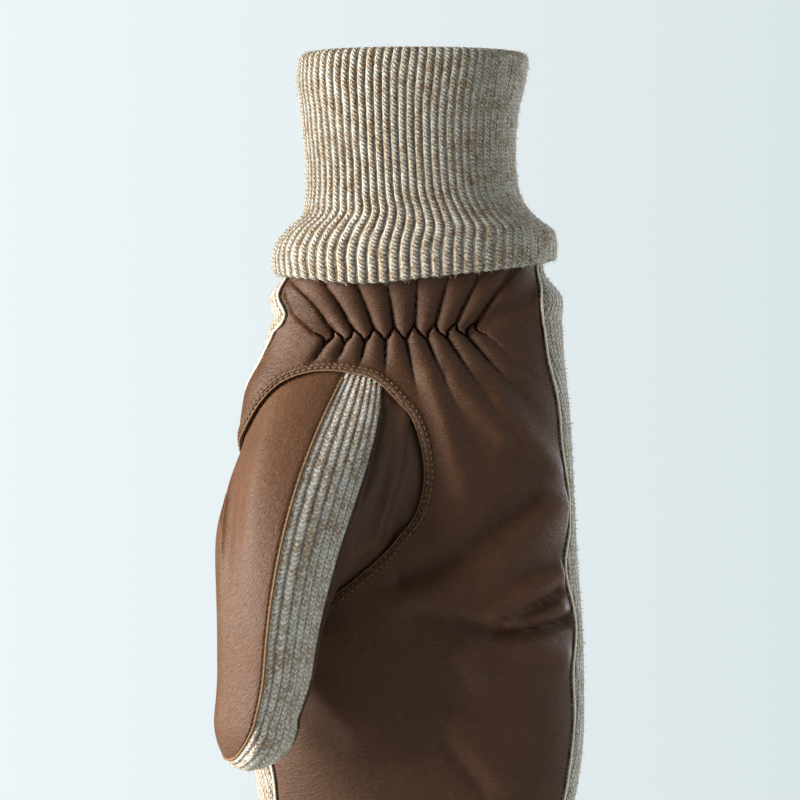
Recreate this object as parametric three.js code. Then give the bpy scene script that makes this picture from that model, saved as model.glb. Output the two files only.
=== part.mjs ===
// A right-hand mitten with a leather palm, a knitted back and a turned-down ribbed cuff.
// Millimetres, +Z up along the forearm. The palm faces -Y and the thumb is on the -X side.
// The origin is the middle of the wrist, level with the elastic that gathers the leather.
import * as THREE from "three";
import { mergeVertices } from "three/addons/utils/BufferGeometryUtils.js";

// Hand
const HAND_LENGTH = 215; // from the wrist elastic down to the fingertips
const HAND_WIDTH = 118; // across the knuckles
const HAND_DEPTH = 54; // palm to back at the ball of the thumb
const HEM_RISE = 30; // how far palm and back run up inside the cuff
const ROUND_END = 87; // length over which the fingertips round off
const SECTION_POWER = 2.3; // 2 is an ellipse, more is squarer
const END_POWER = { width: 2.2, depth: 1.9 };

// Walls
const LEATHER = 1.6;
const KNIT = 3;
const STRIP_KNIT = 2.2; // the thumb's strip
const KNIT_PROUD = 0.8; // how far the knitted back stands out past the leather
const GAP = 0.3; // between pieces that are sewn together

// Elastic at the wrist, and the folds of the palm
const ELASTIC_LENGTH = 49;
const ELASTIC_FROM = -29.5; // its left end, from the middle of the hand
const ELASTIC_DROP = 2.8; // its left end lies this far below the wrist line
const ELASTIC_TILT = 2.4; // how much higher its right end is
const PLEATS = 7;
const ZIGZAG_HEIGHT = 4.4;
const PLEAT_DEPTH = 3.6;
const PLEAT_FAN = 30; // distance from the elastic at which a pleat is twice as wide
const PLEAT_RUN = { up: 22, down: 15 }; // how far the pleats run before they have faded
const PLEAT_RIM = 5; // the pleats end over this distance beside the elastic
const FOLD_HEIGHT = 3;
const SEAM_CALM = 7; // degrees beside a seam over which the folds die away
const OPENING_CALM = 9; // and the distance beside the thumb's opening

// Thumb
const OPENING_TURN = 59; // reach of the opening from its middle, in degrees round the hand
const OPENING_DROP = 59; // and in millimetres down it
const OPENING_MIDDLE = { angle: -50, level: 0.27 };
const THUMB_LAP = 3; // thumb leather that is hidden under the edge of the opening
const LAP_GAP = 0.9; // between that leather and the palm over it
const THUMB_REACH = 147; // from the wrist elastic down to the tip of the thumb
const THUMB_WIDTH = 34;
const THUMB_DEPTH = 29.6;
const THUMB_CAP = 17; // height of the rounded tip
const THUMB_FORWARD = 38.5; // from the middle of the hand to the middle of the thumb
const TIP_DRIFT = 3.7; // how far the tip leans out past the tube
const WELT_RIDGE = 0.2; // how far the tube stands out at the welt, as a share of its radius
const PANEL_FLAT = 0.32; // and how much flatter than an ellipse the leather beside it is

// Cuff
const CUFF_HEIGHT = 95; // from the wrist elastic up to the fold
const CUFF_WIDTH = 80;
const CUFF_DEPTH = 52;
const CUFF_LAYER = 2.8; // one layer of rib knit
const CUFF_TUCK = 9; // how far the inner layer reaches down inside the leather
const RIB_PITCH = 3.1;
const RIB_DEPTH = 0.9;

const LOOKS = {
  leather: { color: 0x7b5b43, roughness: 0.5 },
  leatherInner: { color: 0x5a4334, roughness: 0.5 },
  knit: { color: 0xb8ab93, roughness: 0.95 },
  cuff: { color: 0xb4a48a, roughness: 0.95 },
};

// A table keeps its columns by name, so that a row stays readable.
function table(names, rows) {
  const columns = {};
  names.split(" ").forEach((name, index) => {
    columns[name] = rows.map((row) => row[index]);
  });
  return columns;
}

// Sections of the hand. Levels below the elastic are shares of HAND_LENGTH, and levels above it,
// which are negative, are shares of HEM_RISE. The reaches are shares of half the width or depth.
const HAND_SECTIONS = table("level left right depth", [
  [-1.0, 0.74, 0.755, 0.89],
  [-0.6, 0.745, 0.76, 0.87],
  [-0.4, 0.825, 0.845, 0.85],
  [-0.07, 0.822, 0.853, 0.8],
  [0.042, 0.881, 0.864, 0.815],
  [0.088, 0.975, 0.881, 0.885],
  [0.135, 1.01, 0.898, 0.945],
  [0.256, 1.025, 0.922, 1.0],
  [0.353, 1.008, 0.939, 1.0],
  [0.498, 0.983, 0.975, 0.98],
  [0.595, 0.958, 0.981, 0.925],
  [1.0, 0.958, 0.981, 0.925],
]);

// The two long seams between palm and back, in degrees round from the middle of the palm.
const SEAMS = table("level left right", [
  [-1.0, -84, 72],
  [-0.63, -82, 70],
  [-0.37, -70, 57],
  [-0.13, -67, 58],
  [0.015, -77, 60],
  [0.05, -90, 62],
  [0.1, -98, 67],
  [0.19, -112, 69],
  [0.27, -119, 75],
  [0.31, -121, 74],
  [0.37, -122, 66],
  [0.47, -110, 73],
  [0.54, -92, 68],
  [0.61, -74, 69],
  [0.69, -61, 67],
  [0.8, -66, 68],
  [1.0, -90, 90],
]);

// Edge of the thumb's opening: direction from its middle, 0 up and 90 towards the little finger,
// and reach as a share of OPENING_TURN and OPENING_DROP.
const OPENING = table("direction reach", [
  [-165, 0.8],
  [-141, 0.93],
  [-117, 1.02],
  [-97, 1.02],
  [-82, 0.93],
  [-70, 0.81],
  [-54, 0.63],
  [-18, 0.59],
  [5, 0.7],
  [34, 0.89],
  [45, 0.98],
  [56, 1.0],
  [71, 0.97],
  [87, 0.92],
  [107, 0.83],
  [125, 0.745],
  [140, 0.705],
  [166, 0.72],
]);

// Folds of the palm, each a straight ridge or, where height is negative, a valley.
// Across is a share of half of HAND_WIDTH, level of HAND_LENGTH, breadth of HAND_WIDTH and height
// of FOLD_HEIGHT.
const FOLDS = table("across level acrossEnd levelEnd breadth height", [
  [-0.08, 0.38, 0.68, 0.27, 0.055, -0.75],
  [-0.08, 0.42, 0.5, 0.355, 0.055, 0.6],
  [0.5, 0.355, 0.86, 0.284, 0.055, 0.6],
  [0.5, 0.445, 0.85, 0.388, 0.032, 0.5],
  [0.03, 0.448, 0.48, 0.478, 0.036, -0.85],
  [0.48, 0.478, 0.88, 0.459, 0.036, -0.8],
  [0.61, 0.498, 0.85, 0.516, 0.05, 0.35],
  [-0.6, 0.553, -0.33, 0.634, 0.042, 0.65],
  [0.09, 0.076, 0.29, 0.253, 0.036, 0.5],
  [0.23, 0.084, 0.52, 0.172, 0.034, 0.45],
  [0.49, 0.116, 0.81, 0.22, 0.036, 0.4],
  [-0.5, 0.005, -0.75, -0.055, 0.025, -0.5],
  [0.34, 0.0, 0.72, -0.055, 0.025, -0.5],
]);

// Tube of the thumb below the opening. Level is a share of THUMB_REACH, middle of half of
// HAND_WIDTH, and width and depth are shares of THUMB_WIDTH and THUMB_DEPTH.
const THUMB_SECTIONS = table("level middle width depth", [
  [0.721, -0.822, 1.0, 1.0],
  [0.8, -0.84, 0.94, 0.97],
  [0.884, -0.885, 0.845, 0.9],
]);

// How the thumb leaves the opening, by the way round from the welt: the angle at which it rises
// from the palm, how much it turns from straight inwards to straight down, and how far it keeps
// going that way and then the tube's way, as shares of the distance between the two.
const THUMB_RISE = table("way angle turn pull drop", [
  [0.0, 33, 0.6, 0.36, 0.42],
  [0.05, 30, 1.0, 0.36, 0.42],
  [0.12, 24, 0.6, 0.36, 0.42],
  [0.25, 26, 0.35, 0.4, 0.42],
  [0.38, 46, 0.05, 0.5, 0.5],
  [0.47, 62, 0, 0.6, 0.6],
  [0.57, 52, 0, 0.55, 0.6],
  [0.68, 18, 0.1, 0.4, 0.5],
  [0.8, 17, 0.15, 0.36, 0.45],
  [0.9, 28, 0.3, 0.36, 0.43],
  [1.0, 33, 0.6, 0.36, 0.42],
]);

// Seams of the thumb: degrees round its tube, 0 at the front and 90 towards the palm, and the
// same seams as shares of the way round the opening, which starts at the welt.
const WELT = { angle: 0, way: 0 };
const STRIP_EDGE = { angle: 70, way: 0.052 };
const INNER_EDGE = { angle: 150, way: 0.535 };
const FRONT_EDGE = { angle: 228, way: 0.605 };
const TONGUE_REACH = { front: 0.45, inner: 0.5 }; // how near the panels come to the tip, 0 is at it

// Outer shape of the cuff. Level is a share of CUFF_HEIGHT, the reaches are shares of half of
// CUFF_WIDTH and of CUFF_DEPTH.
const CUFF_SECTIONS = table("level left right depth", [
  [0.14, 1.2, 1.217, 1.06],
  [0.2, 1.212, 1.227, 1.09],
  [0.255, 1.225, 1.232, 1.09],
  [0.305, 1.2, 1.232, 1.08],
  [0.363, 1.105, 1.2, 1.03],
  [0.41, 0.975, 1.052, 0.96],
  [0.47, 0.94, 0.94, 0.93],
  [0.57, 0.932, 0.888, 0.92],
  [0.68, 0.95, 0.88, 0.94],
  [0.79, 0.975, 0.905, 0.97],
  [0.905, 1.01, 0.965, 1.0],
  [1.0, 0.995, 1.0, 1.0],
]);

// Free edge of the cuff: degrees round from the middle of the palm, and its level.
const FREE_EDGE = table("angle level", [
  [-180, 0.21],
  [-90, 0.2],
  [-50, 0.178],
  [-12, 0.16],
  [8, 0.185],
  [30, 0.205],
  [55, 0.228],
  [90, 0.255],
  [135, 0.235],
  [180, 0.21],
]);

const radians = THREE.MathUtils.degToRad;
const degrees = THREE.MathUtils.radToDeg;
const mix = THREE.MathUtils.lerp;
const clamp = THREE.MathUtils.clamp;
const smoothstep = (t) => THREE.MathUtils.smoothstep(t, 0, 1);

// Smooth curve through the rows of a table: a cubic between neighbours, with the slope at a row
// taken from both sides.
function read(rows, key, name, at) {
  const x = rows[key];
  const y = rows[name];
  const last = x.length - 1;
  const t = clamp(at, x[0], x[last]);
  let i = 0;
  while (i < last - 1 && t > x[i + 1]) i += 1;
  const slope = (k) => (y[k + 1] - y[k]) / (x[k + 1] - x[k]);
  const tangent = (k) => {
    if (k === 0) return slope(0);
    if (k === last) return slope(last - 1);
    const before = x[k] - x[k - 1];
    const after = x[k + 1] - x[k];
    return (slope(k - 1) * after + slope(k) * before) / (before + after);
  };
  const span = x[i + 1] - x[i];
  const s = (t - x[i]) / span;
  const rise = s * s * (3 - 2 * s);
  const start = s * (1 - s) * (1 - s);
  const end = s * s * (s - 1);
  return mix(y[i], y[i + 1], rise) + span * (start * tangent(i) + end * tangent(i + 1));
}

// A table that goes round: its first row follows its last one, a full turn later.
function readRound(rows, key, name, at) {
  const turns = [-360, 0, 360];
  const wide = {
    [key]: turns.flatMap((turn) => rows[key].map((value) => value + turn)),
    [name]: turns.flatMap(() => rows[name]),
  };
  return read(wide, key, name, at);
}

const power = (value, exponent) => Math.sign(value) * Math.abs(value) ** exponent;

// Point on a superellipse: the angle is 0 at the front and grows towards +X.
function onSection(section, angle, z, grow = 0) {
  const a = radians(angle);
  const x = section.middle + (section.halfWidth + grow) * power(Math.sin(a), 2 / SECTION_POWER);
  const y = -(section.halfDepth + grow) * power(Math.cos(a), 2 / SECTION_POWER);
  return new THREE.Vector3(x, y, z);
}

const handLevel = (z) => (z > 0 ? -z / HEM_RISE : -z / HAND_LENGTH);
const heightOf = (level) => (level < 0 ? -level * HEM_RISE : -level * HAND_LENGTH);

function handSection(z) {
  const level = handLevel(z);
  const left = (read(HAND_SECTIONS, "level", "left", level) * HAND_WIDTH) / 2;
  const right = (read(HAND_SECTIONS, "level", "right", level) * HAND_WIDTH) / 2;
  const depth = (read(HAND_SECTIONS, "level", "depth", level) * HAND_DEPTH) / 2;
  const past = clamp((-z - (HAND_LENGTH - ROUND_END)) / ROUND_END, 0, 1);
  const width = (1 - past ** END_POWER.width) ** (1 / END_POWER.width);
  const thin = (1 - past ** END_POWER.depth) ** (1 / END_POWER.depth);
  return {
    middle: ((right - left) / 2) * width,
    halfWidth: ((right + left) / 2) * width,
    halfDepth: depth * thin,
  };
}

const handPoint = (angle, z) => onSection(handSection(z), angle, z);

// Unit vector out of a surface that is given by two numbers, the second of which grows upwards
// where dv is more than 0.
function outward(surface, u, v, du, dv) {
  const alongU = surface(u + du, v).sub(surface(u - du, v));
  const alongV = surface(u, v + dv).sub(surface(u, v - dv));
  return alongU.cross(alongV).normalize();
}

function handNormal(angle, z) {
  const end = 0.2 - HAND_LENGTH;
  if (z < end) return new THREE.Vector3(0, 0, -1);
  const step = Math.min(0.5, (z + HAND_LENGTH) / 3);
  return outward(handPoint, angle, z, 0.4, step);
}

const ELASTIC_MIDDLE = ELASTIC_FROM + ELASTIC_LENGTH / 2;
const PLEAT_PITCH = ELASTIC_LENGTH / (PLEATS + 0.5);

const elasticHeight = (x) => -ELASTIC_DROP + (ELASTIC_TILT * (x - ELASTIC_FROM)) / ELASTIC_LENGTH;

// Pleats of the gather. Above the zigzag they are centred on its lower points and below it on its
// upper points, come to a point there, and fan out and fade away from it.
function pleats(x, z) {
  const away = z - elasticHeight(x);
  const fan = 1 + Math.abs(away) / PLEAT_FAN;
  const spread = (x - ELASTIC_MIDDLE) / fan;
  const beside = Math.max(0, Math.abs(spread) - ELASTIC_LENGTH / 2);
  const phase = (spread + ELASTIC_LENGTH / 2) / PLEAT_PITCH;
  const zigzag = 4 * Math.abs(phase - Math.floor(phase) - 0.5) - 1;
  const fromLine = away / (ZIGZAG_HEIGHT / 2) + zigzag;
  const above = fromLine > 0;
  const shifted = above ? phase + 0.5 : phase;
  const across = Math.abs(shifted - Math.floor(shifted) - 0.5) * 2;
  const round = (1 - across * across) ** 0.6;
  const full = smoothstep(Math.abs(fromLine) / 3);
  const run = above ? PLEAT_RUN.up : PLEAT_RUN.down;
  const fade = Math.exp(-((away / run) ** 2)) * (1 - smoothstep(beside / PLEAT_RIM));
  return -PLEAT_DEPTH * fade * (1 - 0.95 * round * full);
}

function folds(x, z) {
  let height = 0;
  for (let i = 0; i < FOLDS.level.length; i += 1) {
    const x0 = (FOLDS.across[i] * HAND_WIDTH) / 2;
    const z0 = -FOLDS.level[i] * HAND_LENGTH;
    const dx = (FOLDS.acrossEnd[i] * HAND_WIDTH) / 2 - x0;
    const dz = -FOLDS.levelEnd[i] * HAND_LENGTH - z0;
    const share = clamp(((x - x0) * dx + (z - z0) * dz) / (dx * dx + dz * dz), 0, 1);
    const off = Math.hypot(x - x0 - share * dx, z - z0 - share * dz);
    const breadth = FOLDS.breadth[i] * HAND_WIDTH;
    height += FOLDS.height[i] * FOLD_HEIGHT * Math.exp(-((off / breadth) ** 2));
  }
  return height;
}

// The opening is drawn in a chart whose axes are degrees round the hand and millimetres down it.
const OPENING_Z = -OPENING_MIDDLE.level * HAND_LENGTH;
const openingReach = (direction) => readRound(OPENING, "direction", "reach", direction);

// Point on the opening's edge, or a few millimetres (extra) outside it.
function openingChart(direction, extra = 0) {
  const reach = openingReach(direction);
  const a = radians(direction);
  const point = {
    angle: OPENING_MIDDLE.angle + OPENING_TURN * reach * Math.sin(a),
    z: OPENING_Z + OPENING_DROP * reach * Math.cos(a),
  };
  if (extra === 0) return point;
  const here = handPoint(point.angle, point.z);
  const rate = 0.02;
  const next = handPoint(
    mix(OPENING_MIDDLE.angle, point.angle, 1 + rate),
    mix(OPENING_Z, point.z, 1 + rate),
  );
  const grow = 1 + (extra * rate) / here.distanceTo(next);
  return {
    angle: mix(OPENING_MIDDLE.angle, point.angle, grow),
    z: mix(OPENING_Z, point.z, grow),
  };
}

// More than 0 outside the opening, less than 0 in it.
function outsideOpening(angle, z) {
  const across = (angle - OPENING_MIDDLE.angle) / OPENING_TURN;
  const up = (z - OPENING_Z) / OPENING_DROP;
  return Math.hypot(across, up) / openingReach(degrees(Math.atan2(across, up))) - 1;
}

// A point of the palm's leather, some way in from its outer face. Its pleats and folds die away
// where it is sewn: at the seams and at the edge of the opening.
function palmPoint(angle, z, inward = 0) {
  const at = handPoint(angle, z);
  const level = handLevel(z);
  const toLeft = angle - read(SEAMS, "level", "left", level);
  const toRight = read(SEAMS, "level", "right", level) - angle;
  const seam = smoothstep(Math.min(toLeft, toRight) / SEAM_CALM);
  const opening = smoothstep((outsideOpening(angle, z) * OPENING_DROP) / OPENING_CALM);
  const relief = seam * opening * (pleats(at.x, z) + folds(at.x, z));
  return at.addScaledVector(handNormal(angle, z), relief - inward);
}

// The way round the opening, from the welt and clockwise as seen from the palm side.
const WELT_DIRECTION = 34;
const RIM_STEPS = 180;
const rimLengths = [0];
for (let i = 1; i <= RIM_STEPS; i += 1) {
  const a = openingChart(WELT_DIRECTION + (360 * (i - 1)) / RIM_STEPS);
  const b = openingChart(WELT_DIRECTION + (360 * i) / RIM_STEPS);
  const length = handPoint(a.angle, a.z).distanceTo(handPoint(b.angle, b.z));
  rimLengths.push(rimLengths[i - 1] + length);
}

function rimDirection(way) {
  const turns = Math.floor(way);
  const along = (way - turns) * rimLengths[RIM_STEPS];
  let i = 0;
  while (rimLengths[i + 1] < along) i += 1;
  const share = (along - rimLengths[i]) / (rimLengths[i + 1] - rimLengths[i]);
  return WELT_DIRECTION + (360 * (i + share)) / RIM_STEPS;
}

const SEAM_ORDER = [WELT, STRIP_EDGE, INNER_EDGE, FRONT_EDGE, { angle: 360 + WELT.angle, way: 1 }];

// The way round the opening that belongs to an angle round the thumb's tube.
function wayAt(angle) {
  const turn = Math.floor((angle - WELT.angle) / 360);
  const local = angle - 360 * turn;
  let i = 0;
  while (i < SEAM_ORDER.length - 2 && local > SEAM_ORDER[i + 1].angle) i += 1;
  const from = SEAM_ORDER[i];
  const to = SEAM_ORDER[i + 1];
  return mix(from.way, to.way, (local - from.angle) / (to.angle - from.angle)) + turn;
}

function thumbSection(z) {
  const level = -z / THUMB_REACH;
  return {
    middle: (read(THUMB_SECTIONS, "level", "middle", level) * HAND_WIDTH) / 2,
    halfWidth: (read(THUMB_SECTIONS, "level", "width", level) * THUMB_WIDTH) / 2,
    halfDepth: (read(THUMB_SECTIONS, "level", "depth", level) * THUMB_DEPTH) / 2,
  };
}

// Share of the ellipse's radius at an angle round the tube. Two flat panels meet at the welt, so
// the tube has a ridge there, and the leather beside it is flattened.
function weltShare(angle) {
  const a = radians(angle - WELT.angle);
  const front = Math.cos(a);
  const side = Math.abs(Math.sin(a));
  if (front < 0) return 1;
  const flat = Math.sin(a) < 0 ? PANEL_FLAT * side * front * front : 0;
  return 1 + WELT_RIDGE * (1 - side) - flat;
}

// Point on the tube's section, which may be narrowed and shifted along X.
function onThumb(section, angle, z, wide = 1, shift = 0) {
  const a = radians(angle);
  const share = weltShare(angle) * wide;
  const x = section.middle + shift + section.halfWidth * share * Math.sin(a);
  return new THREE.Vector3(x, -THUMB_FORWARD - section.halfDepth * share * Math.cos(a), z);
}

const onTube = (angle, z) => onThumb(thumbSection(z), angle, z);

const TUBE_TOP = -THUMB_SECTIONS.level[0] * THUMB_REACH;
const TUBE_END = THUMB_CAP - THUMB_REACH;

// The thumb's outer face. Stage 0 to 1 goes from under the edge of the opening to its rim, 1 to 2
// on to the tube, 2 to 3 down the tube, and 3 to 4 over the rounded tip.
function sleeve(angle, stage) {
  if (stage >= 3) {
    const polar = radians(90 * (4 - stage));
    const wide = Math.sin(polar);
    const z = TUBE_END - THUMB_CAP * Math.cos(polar);
    return onThumb(thumbSection(TUBE_END), angle, z, wide, -TIP_DRIFT * (1 - wide));
  }
  if (stage >= 2) return onTube(angle, mix(TUBE_TOP, TUBE_END, stage - 2));
  const way = wayAt(angle);
  const direction = rimDirection(way);
  const under = LEATHER + LAP_GAP;
  const edge = openingChart(direction, -LAP_GAP);
  const rim = palmPoint(edge.angle, edge.z, under);
  if (stage < 1) {
    const hidden = openingChart(direction, THUMB_LAP);
    return palmPoint(hidden.angle, hidden.z, under).lerp(rim, stage);
  }
  const share = way - Math.floor(way);
  const rise = radians(read(THUMB_RISE, "way", "angle", share));
  const pull = read(THUMB_RISE, "way", "pull", share);
  const drop = read(THUMB_RISE, "way", "drop", share);
  const turn = read(THUMB_RISE, "way", "turn", share);
  const within = openingChart(direction, -THUMB_LAP);
  const inwards = handPoint(within.angle, within.z).sub(handPoint(edge.angle, edge.z)).normalize();
  const along = inwards.multiplyScalar(1 - turn).add(new THREE.Vector3(0, 0, -turn)).normalize();
  const up = handNormal(edge.angle, edge.z);
  const leave = along.multiplyScalar(Math.cos(rise)).addScaledVector(up, Math.sin(rise));
  const end = onTube(angle, TUBE_TOP);
  const length = rim.distanceTo(end);
  const slope = onTube(angle, TUBE_TOP).sub(onTube(angle, TUBE_TOP - 1)).normalize();
  const first = rim.clone().addScaledVector(leave, pull * length);
  const second = end.clone().addScaledVector(slope, drop * length);
  return new THREE.CubicBezierCurve3(rim, first, second, end).getPoint(stage - 1);
}

function sleeveNormal(angle, stage) {
  if (stage >= 3) {
    const section = thumbSection(TUBE_END);
    const polar = radians(90 * (4 - stage));
    const a = radians(angle);
    return new THREE.Vector3(
      (Math.sin(polar) * Math.sin(a)) / section.halfWidth,
      (-Math.sin(polar) * Math.cos(a)) / section.halfDepth,
      -Math.cos(polar) / THUMB_CAP,
    ).normalize();
  }
  const step = 0.02;
  const middle = clamp(stage, step, 3 - step);
  return outward(sleeve, angle, middle, 0.5, -step);
}

// Mesh of a sewn wall. Outer and inner points match one to one. The faces turn anticlockwise as
// seen from outside, and every open edge of the surface is closed with a strip.
function wall(outer, inner, faces) {
  const points = [...outer, ...inner];
  const shift = outer.length;
  const edges = new Map();
  const index = [];
  for (const [a, b, c] of faces) {
    index.push(a, b, c, a + shift, c + shift, b + shift);
    for (const [from, to] of [[a, b], [b, c], [c, a]]) edges.set(`${from} ${to}`, [from, to]);
  }
  for (const [from, to] of edges.values()) {
    if (edges.has(`${to} ${from}`)) continue;
    index.push(to, from, from + shift, to, from + shift, to + shift);
  }
  return solid(points, index);
}

// Closed mesh with doubled points merged and flat faces left out.
function solid(points, index) {
  const geometry = new THREE.BufferGeometry();
  const flat = points.flatMap((point) => [point.x, point.y, point.z]);
  geometry.setAttribute("position", new THREE.Float32BufferAttribute(flat, 3));
  geometry.setIndex(index);
  const merged = mergeVertices(geometry, 1e-4);
  const corners = merged.getIndex().array;
  const kept = [];
  for (let i = 0; i < corners.length; i += 3) {
    const [a, b, c] = corners.slice(i, i + 3);
    if (a !== b && b !== c && c !== a) kept.push(a, b, c);
  }
  merged.setIndex(kept);
  merged.computeVertexNormals();
  return merged;
}

function gridFaces(rows, columns) {
  const faces = [];
  for (let i = 0; i < rows - 1; i += 1) {
    for (let j = 0; j < columns - 1; j += 1) {
      const a = i * columns + j;
      const b = a + columns;
      faces.push([a, b, b + 1], [a, b + 1, a + 1]);
    }
  }
  return faces;
}

// Cuts a triangulated chart along the curve where side is 0 and keeps the part where it is more.
// Points very near the curve are moved onto it first, so that no sliver is left.
function cutChart(points, faces, side) {
  const value = points.map((point) => side(point.angle, point.z));
  const between = (i, j) => {
    const t = value[i] / (value[i] - value[j]);
    return { angle: mix(points[i].angle, points[j].angle, t), z: mix(points[i].z, points[j].z, t), t };
  };
  const moves = new Map();
  for (const face of faces) {
    for (let k = 0; k < 3; k += 1) {
      const i = face[k];
      const j = face[(k + 1) % 3];
      if (value[i] * value[j] >= 0) continue;
      const cross = between(i, j);
      const near = cross.t < 0.5 ? i : j;
      const distance = Math.min(cross.t, 1 - cross.t);
      if (distance < 0.25 && !(moves.has(near) && moves.get(near).distance < distance)) {
        moves.set(near, { distance, ...cross });
      }
    }
  }
  for (const [i, move] of moves) {
    points[i] = { angle: move.angle, z: move.z };
    value[i] = 0;
  }
  const cuts = new Map();
  const cutPoint = (i, j) => {
    const name = i < j ? `${i} ${j}` : `${j} ${i}`;
    if (!cuts.has(name)) {
      const { angle, z } = between(i, j);
      cuts.set(name, points.length);
      points.push({ angle, z });
      value.push(0);
    }
    return cuts.get(name);
  };
  const kept = [];
  for (const face of faces) {
    const outline = [];
    for (let k = 0; k < 3; k += 1) {
      const i = face[k];
      const j = face[(k + 1) % 3];
      if (value[i] >= 0) outline.push(i);
      if (value[i] * value[j] < 0) outline.push(cutPoint(i, j));
    }
    if (!outline.some((i) => value[i] > 0)) continue;
    for (let k = 1; k < outline.length - 1; k += 1) kept.push([outline[0], outline[k], outline[k + 1]]);
  }
  return kept;
}

// Levels of the rows: close together at the gather, where the pleats are, and wider below.
const spread = (from, to, steps) => Array.from({ length: steps }, (_, i) => mix(from, to, i / steps));
const endRows = (from, steps) =>
  Array.from({ length: steps + 1 }, (_, i) => {
    const turn = Math.sin((Math.PI / 2) * (i / steps));
    return mix(-from, -HAND_LENGTH, turn);
  });

const GATHER_TOP = ZIGZAG_HEIGHT * 1.2;
const GATHER_END = -ZIGZAG_HEIGHT * 2.4;
const PALM_BASE = HAND_LENGTH - ROUND_END;
const handRows = [
  ...spread(HEM_RISE, GATHER_TOP, 4),
  ...spread(GATHER_TOP, GATHER_END, 8),
  ...spread(GATHER_END, -PALM_BASE, 15),
  ...endRows(PALM_BASE, 7),
];

// Columns: fixed angles over the gather, four to a pleat, and shares of the way to each seam.
function gatherAngles() {
  const section = handSection(0);
  const count = 4 * PLEATS + 2;
  return Array.from({ length: count + 1 }, (_, i) => {
    const x = ELASTIC_FROM + (ELASTIC_LENGTH * i) / count;
    const sine = power((x - section.middle) / section.halfWidth, SECTION_POWER / 2);
    return degrees(Math.asin(sine));
  });
}

const LEFT_COLUMNS = 10;
const RIGHT_COLUMNS = 7;
const DENSE_ROWS = 14; // below them the middle has half as many columns
const MIDDLE_ANGLES = gatherAngles();
const SEAM_MOST = 2; // degrees, where the hand is so small near its tip that a degree is nothing

// Angle of a seam, moved by half a gap to one side.
function seamAngle(side, z, way) {
  const angle = read(SEAMS, "level", side, handLevel(z));
  const near = handPoint(angle - 0.5, z).distanceTo(handPoint(angle + 0.5, z));
  return angle + way * Math.min(SEAM_MOST, GAP / 2 / near);
}

// At the rounded end the two halves are also moved apart, forwards and backwards.
function apart(z, way) {
  const past = clamp((-z - PALM_BASE) / ROUND_END, 0, 1);
  return new THREE.Vector3(0, (way * past * GAP) / 2, 0);
}

function palmAngles(z) {
  const left = seamAngle("left", z, 1);
  const right = seamAngle("right", z, -1);
  const first = MIDDLE_ANGLES[0];
  const last = MIDDLE_ANGLES[MIDDLE_ANGLES.length - 1];
  return [
    ...spread(left, first, LEFT_COLUMNS),
    ...MIDDLE_ANGLES,
    ...spread(right, last, RIGHT_COLUMNS).reverse(),
  ];
}

// Faces of the palm: every column down to DENSE_ROWS, and every other one of the middle below it.
function palmFaces(columns) {
  const faces = gridFaces(DENSE_ROWS, columns);
  const middleEnd = columns - RIGHT_COLUMNS - 1;
  for (let i = DENSE_ROWS - 1; i < handRows.length - 1; i += 1) {
    let j = 0;
    while (j < columns - 1) {
      const step = j >= LEFT_COLUMNS && j < middleEnd ? 2 : 1;
      const a = i * columns + j;
      const b = a + columns;
      faces.push([a, b, b + step]);
      if (step === 2 && i === DENSE_ROWS - 1) faces.push([a, b + 2, a + 1], [a + 1, b + 2, a + 2]);
      else faces.push([a, b + step, a + step]);
      j += step;
    }
  }
  return faces;
}

function palm() {
  const points = handRows.flatMap((z) => palmAngles(z).map((angle) => ({ angle, z })));
  const columns = points.length / handRows.length;
  const faces = cutChart(points, palmFaces(columns), outsideOpening);
  const face = (inward) => points.map(({ angle, z }) => palmPoint(angle, z, inward).add(apart(z, -1)));
  const outer = face(0);
  const inner = face(LEATHER);
  const used = [...new Set(faces.flat())];
  const renumber = new Map(used.map((old, now) => [old, now]));
  const tidy = faces.map((face) => face.map((i) => renumber.get(i)));
  return wall(used.map((i) => outer[i]), used.map((i) => inner[i]), tidy);
}

const BACK_COLUMNS = 13;

function back() {
  const grid = (depth) =>
    handRows.flatMap((z) => {
      const from = seamAngle("right", z, 1);
      const to = 360 + seamAngle("left", z, -1);
      return Array.from({ length: BACK_COLUMNS + 1 }, (_, j) => {
        const angle = mix(from, to, j / BACK_COLUMNS);
        return handPoint(angle, z).addScaledVector(handNormal(angle, z), -depth).add(apart(z, 1));
      });
    });
  const faces = gridFaces(handRows.length, BACK_COLUMNS + 1);
  return wall(grid(-KNIT_PROUD), grid(KNIT - KNIT_PROUD), faces);
}

// A border moved by half a gap to one side, whatever the size of a degree is there.
function beside(angle, stage, way) {
  const near = sleeve(angle, stage).distanceTo(sleeve(angle + way, stage));
  return angle + (way * GAP) / 2 / near;
}

// The rounded tip is drawn on a disc: its rim is the end of the tube and its middle is the tip.
const onDisc = (angle) => new THREE.Vector2(Math.cos(radians(angle)), Math.sin(radians(angle)));

function tongueCurve(from, to, reach) {
  const chord = Math.cos(radians((to - from) / 2));
  const control = onDisc((from + to) / 2).multiplyScalar(2 * reach - chord);
  return new THREE.QuadraticBezierCurve(onDisc(from), control, onDisc(to));
}

function fromDisc(point) {
  return { angle: degrees(Math.atan2(point.y, point.x)), stage: 4 - Math.min(1, point.length()) };
}

const DISC_GAP = GAP / (Math.PI * THUMB_CAP);
const SLEEVE_STAGES = [0, 0.9, 1.1, 1.22, 1.36, 1.5, 1.64, 1.78, 1.9, 2, 2.4, 2.75];

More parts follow.
